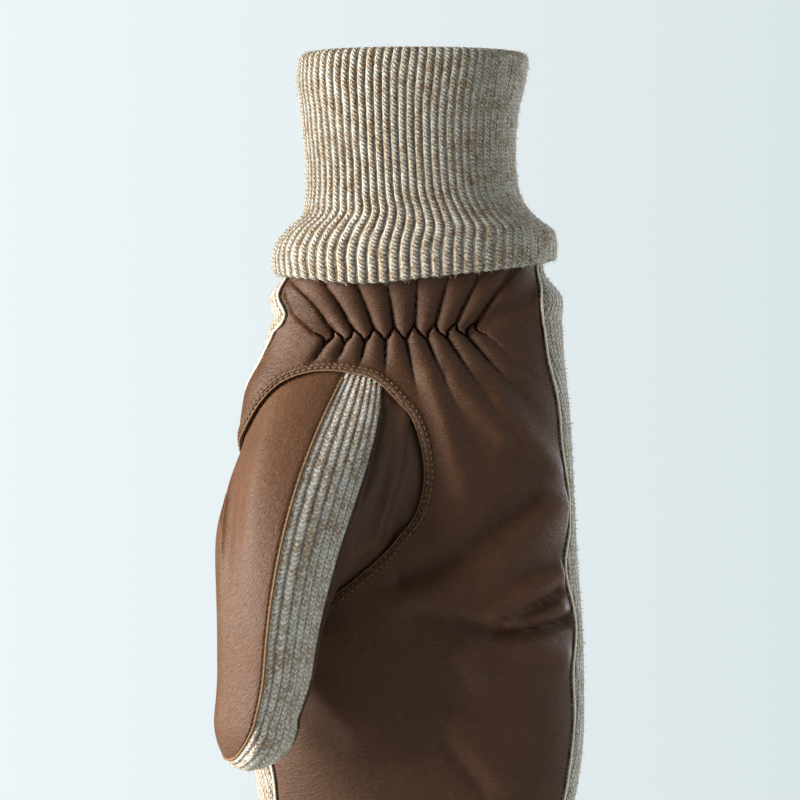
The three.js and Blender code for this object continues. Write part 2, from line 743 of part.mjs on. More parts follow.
// One row across a panel, half a gap inside its seams. Both panels at a seam take the seam's own
// normal there, so that their edges are parallel.
function sleeveRow(from, to, stage, columns) {
  const way = Math.sign(to - from);
  const a = beside(from, stage, way);
  const b = beside(to, stage, -way);
  const row = [];
  for (let j = 0; j <= columns; j += 1) {
    const angle = mix(a, b, j / columns);
    row.push({ angle, stage, facing: angle });
  }
  row[0].facing = from;
  row[columns].facing = to;
  return row;
}

// Leather panel between two seams of the thumb, with a rounded tongue at the tip.
function thumbPanel(from, to, reach, columns) {
  const tip = 5;
  const places = SLEEVE_STAGES.flatMap((stage) => sleeveRow(from, to, stage, columns));
  const start = beside(from, 3, 1);
  const end = beside(to, 3, -1);
  const border = tongueCurve(start, end, reach + DISC_GAP);
  for (let i = 0; i <= tip; i += 1) {
    const t = 0.5 * Math.sin((Math.PI / 2) * (i / tip));
    const a = border.getPoint(t);
    const b = border.getPoint(1 - t);
    const bow = 1 - i / tip;
    for (let j = 0; j <= columns; j += 1) {
      const share = j / columns;
      const straight = a.clone().lerp(b, share);
      const length = mix(straight.length(), mix(a.length(), b.length(), share), bow);
      places.push(fromDisc(straight.setLength(length)));
    }
  }
  return thumbWall(places, SLEEVE_STAGES.length + tip + 1, columns + 1, LEATHER);
}

function thumbWall(places, rows, columns, thickness) {
  const outer = places.map((at) => sleeve(at.angle, at.stage));
  const inner = places.map((at, i) =>
    outer[i].clone().addScaledVector(sleeveNormal(at.facing ?? at.angle, at.stage), -thickness));
  return wall(outer, inner, gridFaces(rows, columns));
}

// Knitted strip: down one side of the thumb, round its tip and up the other side.
function thumbStrip() {
  const columns = 3;
  const tip = 8;
  const places = [];
  const leg = (from, to, stages) => stages.flatMap((stage) => sleeveRow(from, to, stage, columns));
  places.push(...leg(WELT.angle, STRIP_EDGE.angle, SLEEVE_STAGES));
  const frontCurve = tongueCurve(
    beside(WELT.angle, 3, 1),
    beside(FRONT_EDGE.angle, 3, -1) - 360,
    TONGUE_REACH.front - DISC_GAP,
  );
  const innerCurve = tongueCurve(
    beside(STRIP_EDGE.angle, 3, -1),
    beside(INNER_EDGE.angle, 3, 1),
    TONGUE_REACH.inner - DISC_GAP,
  );
  for (let i = 0; i <= tip; i += 1) {
    const t = i / tip;
    const a = frontCurve.getPoint(t);
    const b = innerCurve.getPoint(t);
    const bow = Math.abs(2 * t - 1) ** 2;
    for (let j = 0; j <= columns; j += 1) {
      const share = j / columns;
      const straight = a.clone().lerp(b, share);
      const length = mix(straight.length(), mix(a.length(), b.length(), share), bow);
      places.push(fromDisc(straight.setLength(length)));
    }
  }
  places.push(...leg(FRONT_EDGE.angle, INNER_EDGE.angle, [...SLEEVE_STAGES].reverse()));
  return thumbWall(places, 2 * SLEEVE_STAGES.length + tip + 1, columns + 1, STRIP_KNIT);
}

function cuffSection(z) {
  const level = z / CUFF_HEIGHT;
  const left = (read(CUFF_SECTIONS, "level", "left", level) * CUFF_WIDTH) / 2;
  const right = (read(CUFF_SECTIONS, "level", "right", level) * CUFF_WIDTH) / 2;
  return {
    middle: (right - left) / 2,
    halfWidth: (right + left) / 2,
    halfDepth: (read(CUFF_SECTIONS, "level", "depth", level) * CUFF_DEPTH) / 2,
  };
}

// Levels between the fold and the free edge at which the turned-down layer changes its width.
const CUFF_LEVELS = [0.7, 0.45, 0.385, 0.33];

// The cuff's profile is one closed loop of stations: down the turned-down layer, round its free
// edge, up to the slot that holds the leather, down and up the inner layer, and over the fold.
// Rib is how deep the ribs are there, with the sides swapped inside, where it is less than 0.
function cuff() {
  const girth = 2 * Math.PI * Math.sqrt((CUFF_WIDTH ** 2 + CUFF_DEPTH ** 2) / 8);
  const ribs = Math.round(girth / RIB_PITCH);
  const slot = HEM_RISE + 2 * GAP;
  const tuck = HEM_RISE - CUFF_TUCK;
  const inside = KNIT - KNIT_PROUD + 2 * GAP;
  const double = 2 * CUFF_LAYER + GAP;
  const onCuff = (z, depth, rib) => ({ at: () => z, section: () => cuffSection(z), depth, rib });
  const onHand = (z, depth) => ({ at: () => z, section: () => handSection(z), depth, rib: 0 });
  const onEdge = (lift, depth, rib) => ({
    at: (angle) => read(FREE_EDGE, "angle", "level", angle) * CUFF_HEIGHT + lift,
    section: cuffSection,
    depth,
    rib,
  });
  const loop = [
    onCuff(CUFF_HEIGHT - CUFF_LAYER / 2, CUFF_LAYER / 10, 1),
    ...CUFF_LEVELS.map((level) => onCuff(CUFF_HEIGHT * level, 0, 1)),
    onEdge(CUFF_LAYER * 0.6, 0, 1),
    onEdge(0, CUFF_LAYER * 0.55, 0.4),
    onCuff(slot, CUFF_LAYER, 0),
    onHand(slot, inside),
    onHand(tuck, inside),
    onHand(tuck, inside + CUFF_LAYER),
    onCuff(CUFF_HEIGHT * CUFF_LEVELS[1], double, -1),
    onCuff(CUFF_HEIGHT - CUFF_LAYER, double, -1),
    onCuff(CUFF_HEIGHT, CUFF_LAYER, 0),
  ];
  const columns = 2 * ribs;
  const points = [];
  for (const station of loop) {
    for (let j = 0; j < columns; j += 1) {
      const angle = (360 * j) / columns - 180;
      const z = station.at(angle);
      const groove = (station.rib > 0) === (j % 2 === 0) ? Math.abs(station.rib) * RIB_DEPTH : 0;
      const sink = station.rib < 0 ? station.depth + groove - RIB_DEPTH : station.depth + groove;
      points.push(onSection(station.section(z), angle, z, -sink));
    }
  }
  const index = [];
  for (let i = 0; i < loop.length; i += 1) {
    for (let j = 0; j < columns; j += 1) {
      const a = i * columns + j;
      const right = i * columns + ((j + 1) % columns);
      const b = ((i + 1) % loop.length) * columns + j;
      const corner = ((i + 1) % loop.length) * columns + ((j + 1) % columns);
      index.push(a, b, corner, a, corner, right);
    }
  }
  return solid(points, index);
}

function piece(name, geometry, { color, roughness }) {
  const material = new THREE.MeshStandardMaterial({ color, roughness, metalness: 0 });
  const mesh = new THREE.Mesh(geometry, material);
  mesh.name = name;
  return mesh;
}

const PANEL_COLUMNS = 8;
const frontEnd = 360 + WELT.angle;
const thumbFront = thumbPanel(FRONT_EDGE.angle, frontEnd, TONGUE_REACH.front, PANEL_COLUMNS);
const thumbInner = thumbPanel(STRIP_EDGE.angle, INNER_EDGE.angle, TONGUE_REACH.inner, PANEL_COLUMNS);

const group = new THREE.Group();
group.add(
  piece("cuff", cuff(), LOOKS.cuff),
  piece("palm", palm(), LOOKS.leather),
  piece("back", back(), LOOKS.knit),
  piece("thumb_front", thumbFront, LOOKS.leather),
  piece("thumb_strip", thumbStrip(), LOOKS.knit),
  piece("thumb_inner", thumbInner, LOOKS.leatherInner),
);

export default group;
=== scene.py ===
# %% [markdown]
# # A leather mitten
# This file dresses a right-hand mitten: a leather palm that is gathered at the wrist, a knitted
# back, a thumb of leather with a knitted strip, and a ribbed cuff that is turned down.
# Every shape is a surface worked out with numpy: a function of two numbers, one that goes round
# the hand and one that goes down it. All sizes are in millimetres until a mesh is made.

import bpy
import numpy as np
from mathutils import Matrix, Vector


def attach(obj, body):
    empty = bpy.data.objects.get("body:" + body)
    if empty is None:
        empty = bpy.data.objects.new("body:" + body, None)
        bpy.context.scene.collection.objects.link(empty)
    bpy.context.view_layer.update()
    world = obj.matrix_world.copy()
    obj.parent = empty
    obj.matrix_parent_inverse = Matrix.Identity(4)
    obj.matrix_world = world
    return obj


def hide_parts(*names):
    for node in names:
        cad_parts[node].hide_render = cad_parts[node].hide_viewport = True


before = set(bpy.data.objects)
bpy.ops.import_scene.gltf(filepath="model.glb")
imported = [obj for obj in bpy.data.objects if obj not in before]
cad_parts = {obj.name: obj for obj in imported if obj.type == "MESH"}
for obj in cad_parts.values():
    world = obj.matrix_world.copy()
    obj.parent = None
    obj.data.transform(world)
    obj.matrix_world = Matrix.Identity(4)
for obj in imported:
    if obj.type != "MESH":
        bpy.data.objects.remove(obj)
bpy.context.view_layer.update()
MM = 0.001
print("solids:", sorted(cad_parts))

# %% [markdown]
# ## Sizes
# A maker works from a few body measurements and from how thick the stuff is. These are shared by
# all pieces, and each further size is given at the step that first needs it. The origin is the
# middle of the wrist at the elastic, with the cuff above it and the hand below.

# %% Sizes in millimetres
HAND_LENGTH = 215
HAND_WIDTH = 118
HAND_DEPTH = 54
HEM_RISE = 30
ROUND_END = 87
LEATHER = 1.3
KNIT = 3
GAP = 0.3
print("hand: %d mm long and %d mm wide" % (HAND_LENGTH, HAND_WIDTH))

# %% [markdown]
# ## Tables
# A pattern piece is drawn through a few measured sections. Each table has named columns, and
# `read` draws one smooth curve through a column. A cubic with slopes from both neighbours never
# kinks, and it stays close to its rows, which a single polynomial through all of them would not.

# %% Reading a table
def table(names, rows):
    """A table with named columns, each one an array."""
    return dict(zip(names.split(), np.array(rows, float).T))


def read(rows, key, name, at):
    """Cubic between neighbouring rows: y0 + (y1 - y0) s s (3 - 2 s), plus the two end slopes, each
    the mean of the slopes before and after its row, weighed by the other span."""
    x, y = rows[key], rows[name]
    t = np.clip(at, x[0], x[-1])
    i = np.clip(np.searchsorted(x, t) - 1, 0, len(x) - 2)
    span = np.diff(x)
    slope = np.diff(y) / span
    tangent = np.concatenate([slope[:1], np.zeros(len(x) - 2), slope[-1:]])
    tangent[1:-1] = (slope[:-1] * span[1:] + slope[1:] * span[:-1]) / (span[:-1] + span[1:])
    s = (t - x[i]) / span[i]
    bend = s * (1 - s) ** 2 * tangent[i] + s * s * (s - 1) * tangent[i + 1]
    return y[i] + (y[i + 1] - y[i]) * s * s * (3 - 2 * s) + span[i] * bend


def read_round(rows, key, name, at):
    """The same for a table that goes round: its first row follows its last, a full turn later."""
    wide = {key: np.concatenate([rows[key] + turn for turn in (-360, 0, 360)])}
    wide[name] = np.tile(rows[name], 3)
    return read(wide, key, name, at)


def mix(a, b, share):
    """Straight from a to b: a + (b - a) share."""
    return a + (b - a) * share


def smoothstep(t):
    """3 t t - 2 t t t, held to 0 and 1 at its ends."""
    t = np.clip(t, 0, 1)
    return t * t * (3 - 2 * t)


def unit(v):
    """Vectors of length 1: each divided by its own length."""
    return v / np.maximum(np.linalg.norm(v, axis=-1, keepdims=True), 1e-9)

# %% [markdown]
# ## The hand
# The worn mitten is a flat tube: at each height its section is a superellipse, an ellipse whose
# corners are a little squarer. It could be sculpted, but a formula lets every other piece ask for a
# point and for the way out of the surface at any angle round the hand and any height.

# %% Measured sections
HAND_SECTIONS = table("level left right depth", [
    [-1.0, 0.74, 0.755, 0.89],
    [-0.6, 0.745, 0.76, 0.87],
    [-0.4, 0.825, 0.845, 0.85],
    [-0.07, 0.822, 0.853, 0.8],
    [0.042, 0.881, 0.864, 0.815],
    [0.088, 0.975, 0.881, 0.885],
    [0.135, 1.01, 0.898, 0.945],
    [0.256, 1.025, 0.922, 1.0],
    [0.353, 1.008, 0.939, 1.0],
    [0.498, 0.983, 0.975, 0.98],
    [0.595, 0.958, 0.981, 0.925],
    [1.0, 0.958, 0.981, 0.925],
])

# %% Surface of the hand
SECTION_POWER = 2.3
END_POWER = {"width": 2.2, "depth": 1.9}


def signed_power(value, exponent):
    """|value| to a power, with the sign kept."""
    return np.sign(value) * np.abs(value) ** exponent


def on_section(section, angle, z, grow=0.0):
    """Superellipse: x = middle + half width sin^p, y = -half depth cos^p, with p = 2 / 2.3."""
    middle, half_width, half_depth = section
    a = np.radians(angle)
    x = middle + (half_width + grow) * signed_power(np.sin(a), 2 / SECTION_POWER)
    y = -(half_depth + grow) * signed_power(np.cos(a), 2 / SECTION_POWER)
    return np.stack(np.broadcast_arrays(x, y, z), -1)


def hand_level(z):
    """Share of the hand's length below the elastic, and of the hem above it, which is negative."""
    return np.where(z > 0, -z / HEM_RISE, -z / HAND_LENGTH)


def hand_section(z):
    """Reaches from the table, shrunk over the rounded end by (1 - t^p)^(1/p)."""
    level = hand_level(z)
    left = read(HAND_SECTIONS, "level", "left", level) * HAND_WIDTH / 2
    right = read(HAND_SECTIONS, "level", "right", level) * HAND_WIDTH / 2
    depth = read(HAND_SECTIONS, "level", "depth", level) * HAND_DEPTH / 2
    past = np.clip((-z - (HAND_LENGTH - ROUND_END)) / ROUND_END, 0, 1)
    width = (1 - past ** END_POWER["width"]) ** (1 / END_POWER["width"])
    thin = (1 - past ** END_POWER["depth"]) ** (1 / END_POWER["depth"])
    return (right - left) / 2 * width, (right + left) / 2 * width, depth * thin


def hand_point(angle, z):
    """Point of the plain hand at an angle and a height."""
    return on_section(hand_section(z), angle, z)


around = hand_point(np.linspace(-180, 180, 181), np.array(-HAND_LENGTH / 3))
print("hand: %.0f mm round" % np.linalg.norm(np.diff(around, axis=0), axis=1).sum())

# %% Out of a surface
def outward(surface, u, v, du, dv):
    """Unit vector out of a surface: the cross product of its two directions, by differences."""
    along_u = surface(u + du, v) - surface(u - du, v)
    along_v = surface(u, v + dv) - surface(u, v - dv)
    return unit(np.cross(along_u, along_v))


def hand_normal(angle, z):
    """Out of the hand, and straight down at the very tip."""
    angle, z = np.broadcast_arrays(np.asarray(angle, float), np.asarray(z, float))
    step = np.clip((z + HAND_LENGTH) / 3, 0.01, 0.5)
    normal = outward(hand_point, angle, np.maximum(z, 0.05 - HAND_LENGTH), 0.4, step)
    return np.where((z < 0.2 - HAND_LENGTH)[..., None], [0, 0, -1], normal)

# %% [markdown]
# ## Gathers and folds
# An elastic is sewn in zigzag across the wrist and pulls the leather into pleats. Above the
# zigzag each pleat comes to a point at a lower corner of it, and below at an upper corner, so the
# two rows of pleats bite into each other. They could be simulated as cloth, but a thick leather
# keeps its pleats where the thread holds them, so a formula puts each one in its place.

# %% Folds of the leather
FOLD_HEIGHT = 3
FOLDS = table("across level across_end level_end breadth height", [
    [-0.08, 0.39, 0.25, 0.355, 0.035, -0.7],
    [0.25, 0.355, 0.68, 0.27, 0.03, -0.7],
    [-0.08, 0.43, 0.4, 0.395, 0.06, 0.5],
    [0.4, 0.395, 0.62, 0.335, 0.05, 0.6],
    [0.62, 0.335, 0.86, 0.284, 0.05, 0.7],
    [0.2, 0.435, 0.45, 0.446, 0.035, 0.45],
    [0.45, 0.446, 0.6, 0.42, 0.03, 0.85],
    [0.6, 0.42, 0.85, 0.385, 0.03, 1.0],
    [0.6, 0.455, 0.82, 0.418, 0.018, -0.6],
    [0.55, 0.462, 0.84, 0.442, 0.022, 0.75],
    [0.0, 0.445, 0.25, 0.462, 0.026, -0.45],
    [0.25, 0.462, 0.46, 0.479, 0.02, -0.8],
    [0.46, 0.479, 0.62, 0.479, 0.018, -1.0],
    [0.62, 0.479, 0.9, 0.461, 0.018, -1.0],
    [0.28, 0.51, 0.36, 0.555, 0.03, 0.45],
    [0.61, 0.498, 0.85, 0.516, 0.035, 0.55],
    [0.22, 0.62, 0.52, 0.72, 0.03, 0.45],
    [0.16, 0.65, 0.4, 0.73, 0.016, -0.35],
    [-0.6, 0.553, -0.33, 0.634, 0.042, 0.65],
    [0.09, 0.076, 0.29, 0.253, 0.036, 0.5],
    [0.23, 0.084, 0.52, 0.172, 0.034, 0.45],
    [0.49, 0.116, 0.81, 0.22, 0.036, 0.4],
    [-0.5, 0.005, -0.75, -0.055, 0.025, -0.5],
    [0.34, 0.0, 0.72, -0.055, 0.025, -0.5],
])


def ridges(rows, x, z):
    """Straight ridges and valleys, each height exp(-(distance / breadth)^2): the highest ridge and
    the deepest valley count at each point, so two rows that meet in a corner make one fold."""
    x0, z0 = rows["across"] * HAND_WIDTH / 2, -rows["level"] * HAND_LENGTH
    dx, dz = rows["across_end"] * HAND_WIDTH / 2 - x0, -rows["level_end"] * HAND_LENGTH - z0
    px, pz = x[..., None] - x0, z[..., None] - z0
    share = np.clip((px * dx + pz * dz) / (dx * dx + dz * dz), 0, 1)
    off = np.hypot(px - share * dx, pz - share * dz)
    bells = rows["height"] * FOLD_HEIGHT * np.exp(-((off / (rows["breadth"] * HAND_WIDTH)) ** 2))
    return bells.max(-1, initial=0) + bells.min(-1, initial=0)


print("folds of the palm:", len(FOLDS["across"]))

# %% Pleats at the elastic
ELASTIC_LENGTH = 49
ELASTIC_FROM = -29.5
ELASTIC_DROP = 2.8
ELASTIC_TILT = 2.4
PLEATS = 7
PLEAT_DEPTH = 3.6
PLEAT_ROUND = 0.45
PLEAT_TIP = 0.34
PLEAT_FULL = 0.95
PLEAT_FAN = 30
PLEAT_RIM = 5
PLEAT_RUN = {"up": 24, "down": 16}
FAN_MIDDLE = {"up": -2, "down": -10}
ZIGZAG_HEIGHT = 4.4


def elastic_height(x):
    """Height of the elastic's line, which climbs a little to the right."""
    return -ELASTIC_DROP + ELASTIC_TILT * (x - ELASTIC_FROM) / ELASTIC_LENGTH


def pleats(x, z):
    """Pleats on both sides of the zigzag: each is (1 - c^2)^0.45 across, where c goes from -1 to 1,
    narrows to a point at the zigzag, fans out and fades by exp(-(distance / run)^2)."""
    away = z - elastic_height(x)
    centre = np.where(away > 0, FAN_MIDDLE["up"], FAN_MIDDLE["down"])
    spread = centre + (x - centre) / (1 + np.abs(away) / PLEAT_FAN)
    run = spread - ELASTIC_FROM
    phase = run / (ELASTIC_LENGTH / (PLEATS + 0.5))
    zigzag = 4 * np.abs(phase - np.floor(phase) - 0.5) - 1
    from_line = away / (ZIGZAG_HEIGHT / 2) + zigzag
    above = from_line > 0
    shifted = np.where(above, phase + 0.5, phase)
    across = np.abs(shifted - np.floor(shifted) - 0.5) * 2
    rounded = (1 - across * across) ** PLEAT_ROUND
    full = smoothstep(np.abs(from_line) / PLEAT_TIP)
    fade = np.exp(-((away / np.where(above, PLEAT_RUN["up"], PLEAT_RUN["down"])) ** 2))
    beside = np.maximum(0, np.maximum(-run, run - ELASTIC_LENGTH))
    fade = fade * (1 - smoothstep(beside / PLEAT_RIM))
    return -PLEAT_DEPTH * fade * (1 - PLEAT_FULL * rounded * full)


print("pleats: %d, each %.1f mm wide" % (PLEATS, ELASTIC_LENGTH / (PLEATS + 0.5)))

# %% [markdown]
# ## The thumb's opening
# The thumb is sewn into an oval hole. It is drawn as a radial curve in a chart of degrees round
# and millimetres down, because there it is nearly a circle. Its true distance in millimetres is
# needed for the stitched band round it, so that is measured in space to many points of the curve.
# The two long seams between leather and knit are curves in the same chart.

# %% Opening in the chart
OPENING_TURN = 59
OPENING_DROP = 59
OPENING_MIDDLE = {"angle": -50, "level": 0.27}
OPENING_Z = -OPENING_MIDDLE["level"] * HAND_LENGTH
OPENING = table("direction reach", [
    [-165, 0.8],
    [-141, 0.93],
    [-117, 1.02],
    [-97, 1.02],
    [-82, 0.93],
    [-70, 0.81],
    [-54, 0.63],
    [-18, 0.59],
    [5, 0.7],
    [34, 0.89],
    [45, 0.98],
    [56, 1.0],
    [71, 0.97],
    [87, 0.92],
    [107, 0.83],
    [125, 0.745],
    [140, 0.705],
    [166, 0.72],
])


def opening_reach(direction):
    """Reach of the curve from its middle in that direction, as a share."""
    return read_round(OPENING, "direction", "reach", direction)


def opening_chart(direction, extra=0.0):
    """Angle and height of the opening's edge: middle + turn reach sin and middle + drop reach cos,
    moved outwards by extra millimetres."""
    reach, a = opening_reach(direction), np.radians(direction)
    angle = OPENING_MIDDLE["angle"] + OPENING_TURN * reach * np.sin(a)
    z = OPENING_Z + OPENING_DROP * reach * np.cos(a)
    rate = 0.02
    further = mix(OPENING_MIDDLE["angle"], angle, 1 + rate), mix(OPENING_Z, z, 1 + rate)
    step = np.linalg.norm(hand_point(angle, z) - hand_point(*further), axis=-1)
    grow = 1 + extra * rate / step
    return mix(OPENING_MIDDLE["angle"], angle, grow), mix(OPENING_Z, z, grow)


# %% Length round the opening
WELT_DIRECTION = 34


def outside_opening(angle, z):
    """More than 0 outside the opening: distance from its middle over its reach, less 1."""
    across, up = (angle - OPENING_MIDDLE["angle"]) / OPENING_TURN, (z - OPENING_Z) / OPENING_DROP
    return np.hypot(across, up) / opening_reach(np.degrees(np.arctan2(across, up))) - 1


rim_directions = WELT_DIRECTION + np.linspace(0, 360, 721)
wrapped = (rim_directions + 180) % 360 - 180
rim_points = hand_point(*opening_chart(wrapped))
rim_run = np.concatenate([[0], np.cumsum(np.linalg.norm(np.diff(rim_points, axis=0), axis=1))])


def rim_direction(way):
    """Direction in the chart for a share of the way round the opening, from the welt."""
    turned = np.interp(way - np.floor(way), rim_run / rim_run[-1], rim_directions)
    return (turned + 180) % 360 - 180


def to_opening(points):
    """Distance in space from each point to the nearest point of the opening's edge, and the length
    along the edge up to there."""
    parts = np.array_split(points, 40)
    gaps = [np.linalg.norm(part[:, None] - rim_points[::2], axis=-1) for part in parts]
    nearest = np.concatenate([part.argmin(1) for part in gaps])
    return np.concatenate([part.min(1) for part in gaps]), rim_run[::2][nearest]


print("opening: %.0f mm round" % rim_run[-1])

# %% Long seams
SEAMS = table("level left right", [
    [-1.0, -84, 72],
    [-0.63, -82, 70],
    [-0.37, -70, 57],
    [-0.13, -67, 58],
    [0.015, -77, 60],
    [0.05, -90, 62],
    [0.1, -98, 67],
    [0.19, -112, 69],
    [0.27, -119, 75],
    [0.31, -121, 74],
    [0.37, -122, 66],
    [0.47, -110, 73],
    [0.54, -92, 68],
    [0.61, -74, 69],
    [0.69, -61, 67],
    [0.8, -66, 68],
    [1.0, -90, 90],
])


def seam_distance(angle, z, side):
    """Millimetres from a long seam: the angle to it times the length of a degree at that height."""
    seam = read(SEAMS, "level", side, hand_level(z))
    degree = np.linalg.norm(hand_point(seam + 0.5, z) - hand_point(seam - 0.5, z), axis=-1)
    return np.abs(angle - seam) * degree


# %% The palm's leather as a surface
SEAM_CALM = 7
OPENING_CALM = 9


def palm_relief(angle, z):
    """Pleats plus folds, times a smooth step from 0 at each seam and at the opening to 1 inside."""
    x = hand_point(angle, z)[..., 0]
    level = hand_level(z)
    to_left = angle - read(SEAMS, "level", "left", level)
    to_right = read(SEAMS, "level", "right", level) - angle
    calm = smoothstep(np.minimum(to_left, to_right) / SEAM_CALM)
    calm = calm * smoothstep(outside_opening(angle, z) * OPENING_DROP / OPENING_CALM)
    return calm * (pleats(x, z) + ridges(FOLDS, x, z))


def palm_point(angle, z, inward=0.0, relief=None):
    """Point of the leather, moved along the hand's normal by its relief less inward."""
    lift = (palm_relief(angle, z) if relief is None else relief) - inward
    return hand_point(angle, z) + lift[..., None] * hand_normal(angle, z)


down_middle = palm_relief(np.zeros(200), np.linspace(HEM_RISE, -HAND_LENGTH / 2, 200))
print("relief of the palm: %.1f to %.1f mm" % (down_middle.min(), down_middle.max()))

# %% [markdown]
# ## The thumb
# The thumb is a sleeve that leaves the oval, swings down into a tube and ends in a round cap. A
# Bezier curve from each point of the oval to the tube gives the swing. Four seams run down it:
# between them lie the front leather, the knitted strip and the inner leather.

# %% Sizes and sections of the thumb
THUMB_REACH = 147
THUMB_WIDTH = 34
THUMB_DEPTH = 29.6
THUMB_CAP = 17
THUMB_FORWARD = 38.5
TIP_DRIFT = 3.7
THUMB_SECTIONS = table("level middle width depth", [
    [0.721, -0.822, 1.0, 1.0],
    [0.8, -0.84, 0.94, 0.97],
    [0.884, -0.885, 0.845, 0.9],
])
THUMB_RISE = table("way angle turn pull drop", [
    [0.0, 33, 0.6, 0.36, 0.42],
    [0.05, 30, 1.0, 0.36, 0.42],
    [0.12, 24, 0.6, 0.36, 0.42],
    [0.25, 26, 0.35, 0.4, 0.42],
    [0.38, 46, 0.05, 0.5, 0.5],
    [0.47, 62, 0, 0.6, 0.6],
    [0.57, 52, 0, 0.55, 0.6],
    [0.68, 18, 0.1, 0.4, 0.5],
    [0.8, 17, 0.15, 0.36, 0.45],
    [0.9, 28, 0.3, 0.36, 0.43],
    [1.0, 33, 0.6, 0.36, 0.42],
])
THUMB_SEAMS = {"welt": (0, 0.0), "strip": (70, 0.052), "inner": (150, 0.535), "front": (228, 0.605)}
TONGUE_REACH = {"front": 0.45, "inner": 0.5}
TUBE_TOP = -THUMB_SECTIONS["level"][0] * THUMB_REACH
TUBE_END = THUMB_CAP - THUMB_REACH
print("thumb: a tube from %.0f to %.0f mm below the elastic" % (-TUBE_TOP, -TUBE_END))

# %% Tube of the thumb
WELT_RIDGE = 0.2
PANEL_FLAT = 0.32


def welt_share(a):
    """Share of the ellipse's radius: two flat panels meet at the welt, so it gains 1 - |sin| of
    WELT_RIDGE there, and the leather beside it loses PANEL_FLAT |sin| cos^2."""
    front, side = np.maximum(np.cos(a), 0), np.abs(np.sin(a))
    ridge = np.where(front > 0, WELT_RIDGE * (1 - side), 0)
    return 1 + ridge - np.where(np.sin(a) < 0, PANEL_FLAT * side * front ** 2, 0)


def on_tube(angle, z, wide=1.0, slide=0.0):
    """Ellipse of the tube: x = middle + half width sin, y = -forward - half depth cos, at a share of
    its full width and slid sideways."""
    level = -z / THUMB_REACH
    middle = read(THUMB_SECTIONS, "level", "middle", level) * HAND_WIDTH / 2 - slide
    half_width = read(THUMB_SECTIONS, "level", "width", level) * THUMB_WIDTH / 2 * wide
    half_depth = read(THUMB_SECTIONS, "level", "depth", level) * THUMB_DEPTH / 2 * wide
    a = np.radians(angle)
    share = welt_share(a)
    x, y = middle + half_width * share * np.sin(a), -THUMB_FORWARD - half_depth * share * np.cos(a)
    return np.stack(np.broadcast_arrays(x, y, z), -1)


# %% From the opening to the tube
THUMB_LAP = 3
LAP_GAP = 0.5


def way_at(angle):
    """Way round the opening for an angle round the tube: straight between the four seams."""
    knots = sorted(THUMB_SEAMS.values()) + [(360, 1.0)]
    turn = np.floor(angle / 360)
    return np.interp(angle - 360 * turn, *np.transpose(knots)) + turn


def swing(angle, t):
    """Cubic Bezier from the rim to the tube: it leaves the palm at the table's angle and joins the
    tube in line with it."""
    way = way_at(angle)
    direction = rim_direction(way)
    share = way - np.floor(way)
    rise, turn, pull, drop = (
        read(THUMB_RISE, "way", name, share) for name in ("angle", "turn", "pull", "drop"))
    edge = opening_chart(direction, -LAP_GAP)
    within = opening_chart(direction, -THUMB_LAP)
    rim = palm_point(*edge, LEATHER + LAP_GAP)
    inwards = unit(hand_point(*within) - hand_point(*edge)) * (1 - turn)[..., None]
    along = unit(inwards - turn[..., None] * np.array([0, 0, 1]))
    rise = np.radians(rise)[..., None]
    leave = along * np.cos(rise) + hand_normal(*edge) * np.sin(rise)
    end = on_tube(angle, TUBE_TOP)
    length = np.linalg.norm(rim - end, axis=-1, keepdims=True)
    slope = unit(on_tube(angle, TUBE_TOP) - on_tube(angle, TUBE_TOP - 1))
    first, second = rim + leave * pull[..., None] * length, end + slope * drop[..., None] * length
    t = t[..., None]
    s = 1 - t
    return s ** 3 * rim + 3 * s * s * t * first + 3 * s * t * t * second + t ** 3 * end


# %% The whole sleeve
def sleeve(angle, stage):
    """Stage 0 to 1 lies under the opening's edge, 1 to 2 is the swing, 2 to 3 the tube, and 3 to 4
    the cap: a quarter turn whose sine narrows the tube and whose cosine lowers it."""
    angle, stage = (np.array(v, float) for v in np.broadcast_arrays(angle, stage))
    direction = rim_direction(way_at(angle))
    hidden = palm_point(*opening_chart(direction, THUMB_LAP), LEATHER + LAP_GAP)
    rim = palm_point(*opening_chart(direction, -LAP_GAP), LEATHER + LAP_GAP)
    under = mix(hidden, rim, np.clip(stage, 0, 1)[..., None])
    swung = swing(angle, np.clip(stage - 1, 0, 1))
    tube = on_tube(angle, mix(TUBE_TOP, TUBE_END, np.clip(stage - 2, 0, 1)))
    polar = np.radians(90 * (4 - np.clip(stage, 3, 4)))
    wide = np.sin(polar)
    cap = on_tube(angle, TUBE_END, wide, TIP_DRIFT * (1 - wide))
    cap[..., 2] = TUBE_END - THUMB_CAP * np.cos(polar)
    stage = stage[..., None]
    return np.where(stage < 1, under, np.where(stage < 2, swung, np.where(stage < 3, tube, cap)))


def sleeve_normal(angle, stage):
    """Out of the sleeve, by differences, and by the ellipsoid's formula on the cap."""
    step = 0.02
    middle = np.clip(stage, step, 3 - step)
    side = outward(sleeve, angle, middle, 0.5, -step)
    polar, a = np.radians(90 * (4 - np.clip(stage, 3, 4))), np.radians(angle)
    level = -TUBE_END / THUMB_REACH
    half_width = read(THUMB_SECTIONS, "level", "width", level) * THUMB_WIDTH / 2
    half_depth = read(THUMB_SECTIONS, "level", "depth", level) * THUMB_DEPTH / 2
    cap = np.stack(np.broadcast_arrays(
        np.sin(polar) * np.sin(a) / half_width,
        -np.sin(polar) * np.cos(a) / half_depth,
        -np.cos(polar) / THUMB_CAP), -1)
    return np.where((np.asarray(stage) >= 3)[..., None], unit(cap), side)


tip = sleeve(0.0, 4.0)
print("tip of the thumb: x %.0f, y %.0f, z %.0f" % tuple(tip))

